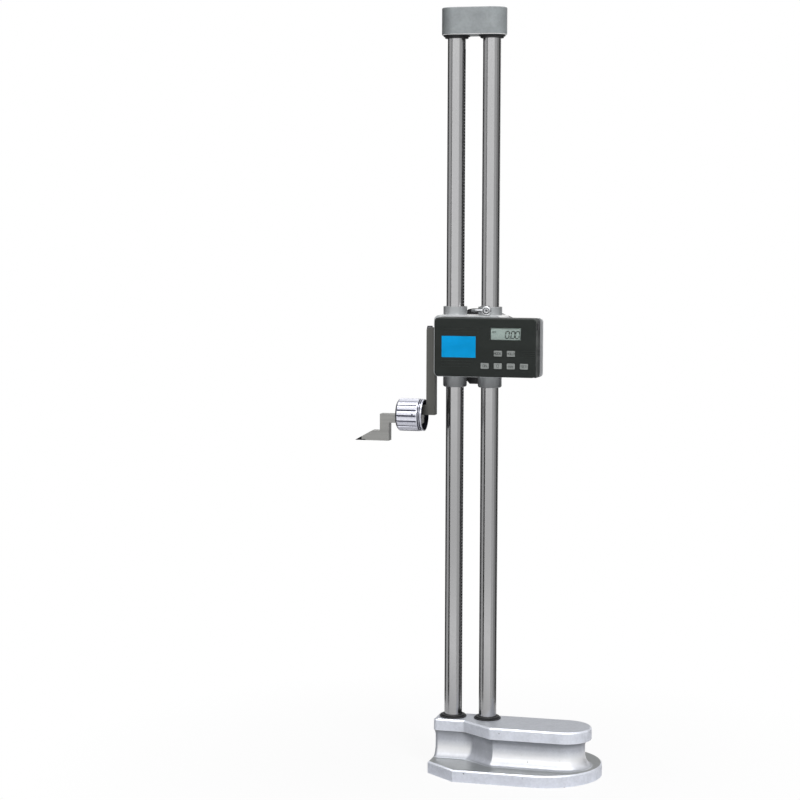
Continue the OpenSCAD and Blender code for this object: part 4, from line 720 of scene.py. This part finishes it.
# Each letter is a list of lines on a grid 4 wide and 6 high
GRID_WIDE, GRID_HIGH = 4, 6
LETTER_GAP = 1.6
LETTERS = {
    "M": [[(0, 0), (0, 6), (2, 3), (4, 6), (4, 0)]],
    "O": [[(0.6, 0), (0, 0.8), (0, 5.2), (0.6, 6), (3.4, 6), (4, 5.2), (4, 0.8), (3.4, 0), (0.6, 0)]],
    "D": [[(0, 0), (0, 6), (2.8, 6), (4, 4.8), (4, 1.2), (2.8, 0), (0, 0)]],
    "E": [[(4, 0), (0, 0), (0, 6), (4, 6)], [(0, 3), (3.2, 3)]],
    "H": [[(0, 0), (0, 6)], [(4, 0), (4, 6)], [(0, 3), (4, 3)]],
    "L": [[(0, 6), (0, 0), (4, 0)]],
    "N": [[(0, 0), (0, 6), (4, 0), (4, 6)]],
    "S": [[(4, 5.2), (3.4, 6), (0.6, 6), (0, 5.2), (0, 3.6), (0.6, 3), (3.4, 3), (4, 2.4), (4, 0.8), (3.4, 0),
           (0.6, 0), (0, 0.8)]],
    "T": [[(0, 6), (4, 6)], [(2, 6), (2, 0)]],
    "m": [[(0, 0), (0, 4)], [(0, 3.6), (2, 4), (2, 0)], [(2, 3.6), (4, 4), (4, 0)]],
    "0": [[(0.8, 0), (0, 1.2), (0, 4.8), (0.8, 6), (3.2, 6), (4, 4.8), (4, 1.2), (3.2, 0), (0.8, 0)]],
}
KEY_WORDS = (
    ("key_mode", "MODE", 2.1), ("key_hold", "HOLD", 2.1), ("key_power", "ON", 2.3),
    ("key_zero", "0", 2.9), ("key_unit", "mm", 2.9), ("key_set", "SET", 2.2),
)
KEY_STROKE = 0.34 * MM
KEY_INK_DEPTH = 0.03 * MM

# The six lit strokes of a 0, on a grid 1 wide and 1 high
ZERO_STROKES = (
    ((0, 1), (1, 1)), ((1, 0.5), (1, 1)), ((1, 0), (1, 0.5)), ((0, 0), (1, 0)), ((0, 0), (0, 0.5)),
    ((0, 0.5), (0, 1)),
)
# Places and sizes in the window, as shares of its width and height
DIGIT_PLACES = (0.475, 0.655, 0.8)
POINT_PLACE = 0.632
DIGIT_FOOT = 0.16
DIGIT_WIDE, DIGIT_TALL, DIGIT_LEAN = 0.112, 0.55, 0.12
UNIT_PLACE = (0.115, 0.66)
DIGIT_STROKE = 1.2 * MM
DIGIT_GAP = 0.1 * MM
UNIT_HEIGHT = 2.3 * MM
UNIT_STROKE = 0.32 * MM
INK_PROUD, INK_SUNK = 0.06 * MM, 0.02 * MM


def raised_outline(work, points, front, back):
    """A flat outline in X and Z, in metres, standing from back to front."""
    face = work.faces.new([work.verts.new((x, back, z)) for x, z in points])
    grown = bmesh.ops.extrude_face_region(work, geom=[face])
    moved = [item for item in grown["geom"] if isinstance(item, bmesh.types.BMVert)]
    bmesh.ops.translate(work, verts=moved, vec=(0, front - back, 0))


def write_word(work, word, centre, height, stroke, front, back):
    unit = height / GRID_HIGH
    step = (GRID_WIDE + LETTER_GAP) * unit
    start = centre[0] - (len(word) * step - LETTER_GAP * unit) / 2
    foot = centre[1] - height / 2
    for place, letter in enumerate(word):
        corner = Vector((start + place * step, foot))
        for line in LETTERS[letter]:
            for first, second in zip(line, line[1:]):
                a = corner + Vector(first) * unit
                b = corner + Vector(second) * unit
                along = (b - a).normalized() * stroke / 2
                side = Vector((-along.y, along.x))
                outline = [a - along - side, b + along - side, b + along + side, a - along + side]
                raised_outline(work, [(p.x, p.y) for p in outline], front, back)


def finish_lettering(name, work, body, slot_name, material):
    bmesh.ops.recalc_face_normals(work, faces=work.faces)
    piece = add_piece(name, work, body, slot_name, LETTER_SMOOTH_BELOW, weighted=False)
    piece.data.materials[0] = material
    return piece


def readout():
    low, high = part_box("lcd_window")
    cell_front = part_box("lcd_module")[0][1]
    front, back = cell_front - INK_PROUD, cell_front + INK_SUNK
    wide, tall = high[0] - low[0], high[2] - low[2]
    foot = low[2] + DIGIT_FOOT * tall
    work = bmesh.new()

    def on_digit(place, x, z):
        return Vector((low[0] + place * wide + x * DIGIT_WIDE * wide + z * DIGIT_TALL * tall * DIGIT_LEAN,
                       foot + z * DIGIT_TALL * tall))

    for place in DIGIT_PLACES:
        for first, second in ZERO_STROKES:
            a = on_digit(place, *first)
            b = on_digit(place, *second)
            along = (b - a).normalized()
            side = Vector((-along.y, along.x)) * DIGIT_STROKE / 2
            tip = along * DIGIT_STROKE / 2
            a = a + along * DIGIT_GAP
            b = b - along * DIGIT_GAP
            outline = [a, a + tip - side, b - tip - side, b, b - tip + side, a + tip + side]
            raised_outline(work, [(p.x, p.y) for p in outline], front, back)
    point = Vector((low[0] + POINT_PLACE * wide, foot))
    outline = [point + Vector(corner) * DIGIT_STROKE / 2 for corner in ((-1, -1), (1, -1), (1, 1), (-1, 1))]
    raised_outline(work, [(p.x, p.y) for p in outline], front, back)
    unit_centre = (low[0] + UNIT_PLACE[0] * wide, low[2] + UNIT_PLACE[1] * tall)
    write_word(work, "mm", unit_centre, UNIT_HEIGHT, UNIT_STROKE, front, back)
    finish_lettering("readout_digits", work, "slider", "lcd_cell", SEGMENT_INK)


def key_words():
    for key, word, height in KEY_WORDS:
        middle = middle_of(key)
        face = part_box(key)[0][1]
        work = bmesh.new()
        write_word(work, word, (middle[0], middle[2]), height * MM, KEY_STROKE,
                   face - KEY_INK_DEPTH, face + KEY_INK_DEPTH)
        finish_lettering(key + "_word", work, key, "key_rubber", KEY_INK)


readout()
key_words()


# Floor, lamps and dark panels

FLOOR_HALF = 14.0
FLOOR_COLOUR = (0.86, 0.86, 0.87, 1.0)
FLOOR_GLOW_AT_FOOT = 0.94
MIRROR_DIMMING = 0.25
WORLD_LIGHT = 0.17
PANEL_LOW, PANEL_HIGH, PANEL_OUT = 0.002, 1.5, 3.2
PANEL_STEPS = 12


def stage_floor():
    """A pale floor that keeps the object's shadow and looks white to the camera and in polished metal."""
    work = bmesh.new()
    bmesh.ops.create_grid(work, x_segments=2, y_segments=2, size=FLOOR_HALF)
    mesh = bpy.data.meshes.new("studio_floor")
    work.to_mesh(mesh)
    work.free()
    w = new_material("pale_floor")
    set_shader(w, Base_Color=FLOOR_COLOUR, Roughness=0.9, Specular_IOR_Level=0.1)
    ray = w.add("LightPath").outputs
    distance = w.calculate("VectorMath", "LENGTH", w.place())["Value"]
    shown = w.most(ray["Is Camera Ray"], ray["Is Transmission Ray"])
    shown = w.times(shown, w.spread(distance, 0.12, 0.45, FLOOR_GLOW_AT_FOOT, 1.0))
    mirrored = w.times(ray["Is Glossy Ray"], w.spread(distance, 0.1, 0.7))
    dimmed = w.times(w.spread(distance, 0.7, 1.3, 0.0, MIRROR_DIMMING), w.fade(distance, 2.5, 5.0))
    dimmed = w.times(dimmed, ray["Is Glossy Ray"])
    glow = w.add("Emission", Color=WHITE, Strength=w.minus(1.0, dimmed))
    mix = w.add("MixShader")
    for socket, value in zip(mix.inputs, (w.most(shown, mirrored), w.shader.outputs[0], glow.outputs[0])):
        w.fill(socket, value)
    w.fill(w.output.inputs["Surface"], mix.outputs[0])
    mesh.materials.append(w.material)
    floor = bpy.data.objects.new("studio_floor", mesh)
    scene.collection.objects.link(floor)


def dark_panel(name, start, end, grey, near=0.3):
    """A sheet that only polished metal sees, along the floor and up round the object.

    Angles are from the front to the right, and the sheet starts at the distance near."""
    work = bmesh.new()
    outline = ((near, PANEL_LOW), (PANEL_OUT, PANEL_LOW), (PANEL_OUT, PANEL_HIGH))
    corners = [work.verts.new((0, -out, up)) for out, up in outline]
    edges = [work.edges.new(pair) for pair in zip(corners, corners[1:])]
    bmesh.ops.rotate(work, verts=corners, cent=(0, 0, 0), matrix=Matrix.Rotation(math.radians(start), 3, "Z"))
    bmesh.ops.spin(work, geom=corners + edges, cent=(0, 0, 0), axis=(0, 0, 1),
                   angle=math.radians(end - start), steps=PANEL_STEPS, use_merge=False)
    mesh = bpy.data.meshes.new(name)
    work.to_mesh(mesh)
    work.free()
    material = bpy.data.materials.new(name)
    material.use_nodes = True
    material.node_tree.nodes.clear()
    w = Wiring(material.node_tree)
    glow = w.add("Emission", Color=(grey, grey, grey, 1.0))
    w.add("OutputMaterial", Surface=glow.outputs[0])
    mesh.materials.append(material)
    panel = bpy.data.objects.new(name, mesh)
    panel.visible_camera = False
    panel.visible_diffuse = False
    panel.visible_shadow = False
    panel.visible_transmission = False
    scene.collection.objects.link(panel)


def soft_lamp(name, place, aim, size, power, diffuse=True, glossy=True):
    data = bpy.data.lights.new(name, "AREA")
    data.shape = "RECTANGLE"
    data.size, data.size_y = size
    data.energy = power
    lamp = bpy.data.objects.new(name, data)
    lamp.location = place
    lamp.rotation_mode = "QUATERNION"
    lamp.rotation_quaternion = (Vector(aim) - Vector(place)).to_track_quat("-Z", "Y")
    lamp.visible_diffuse = diffuse
    lamp.visible_glossy = glossy
    scene.collection.objects.link(lamp)


def studio_world():
    """White to the camera, in mirrors and through glass, and a weak light on everything else."""
    world = bpy.data.worlds.new("studio")
    world.use_nodes = True
    scene.world = world
    world.node_tree.nodes.clear()
    w = Wiring(world.node_tree)
    ray = w.add("LightPath").outputs
    seen = w.most(w.most(ray["Is Camera Ray"], ray["Is Glossy Ray"]), ray["Is Transmission Ray"])
    background = w.add("Background", Color=WHITE, Strength=w.spread(seen, 0.0, 1.0, WORLD_LIGHT, 1.0))
    w.add("OutputWorld", Surface=background.outputs[0])


stage_floor()
dark_panel("panel_left", -99, -61, 0.55)
dark_panel("panel_front_left", -61, -42, 0.03)
dark_panel("panel_left_back", -160, -99, 0.07)
dark_panel("panel_right_front", 48, 82, 0.6)
dark_panel("panel_right", 82, 112, 0.34)
dark_panel("panel_right_back", 112, 156, 0.07)
dark_panel("panel_back", 172, 200, 0.4, near=2.5)
soft_lamp("overhead_lamp", (0.05, -0.45, 2.3), (0.02, 0, 0.2), (2.6, 0.9), 30.0, diffuse=False)
soft_lamp("key_lamp", (1.5, -1.9, 1.7), (0.02, 0, 0.25), (1.0, 1.0), 65.0, glossy=False)
soft_lamp("front_softbox", (0.2, -1.9, 1.4), (0.02, 0, 0.05), (2.6, 0.8), 9.0, diffuse=False)
soft_lamp("fill_lamp", (-1.9, -1.6, 1.0), (0.02, 0, 0.35), (1.2, 1.4), 1.5)
studio_world()
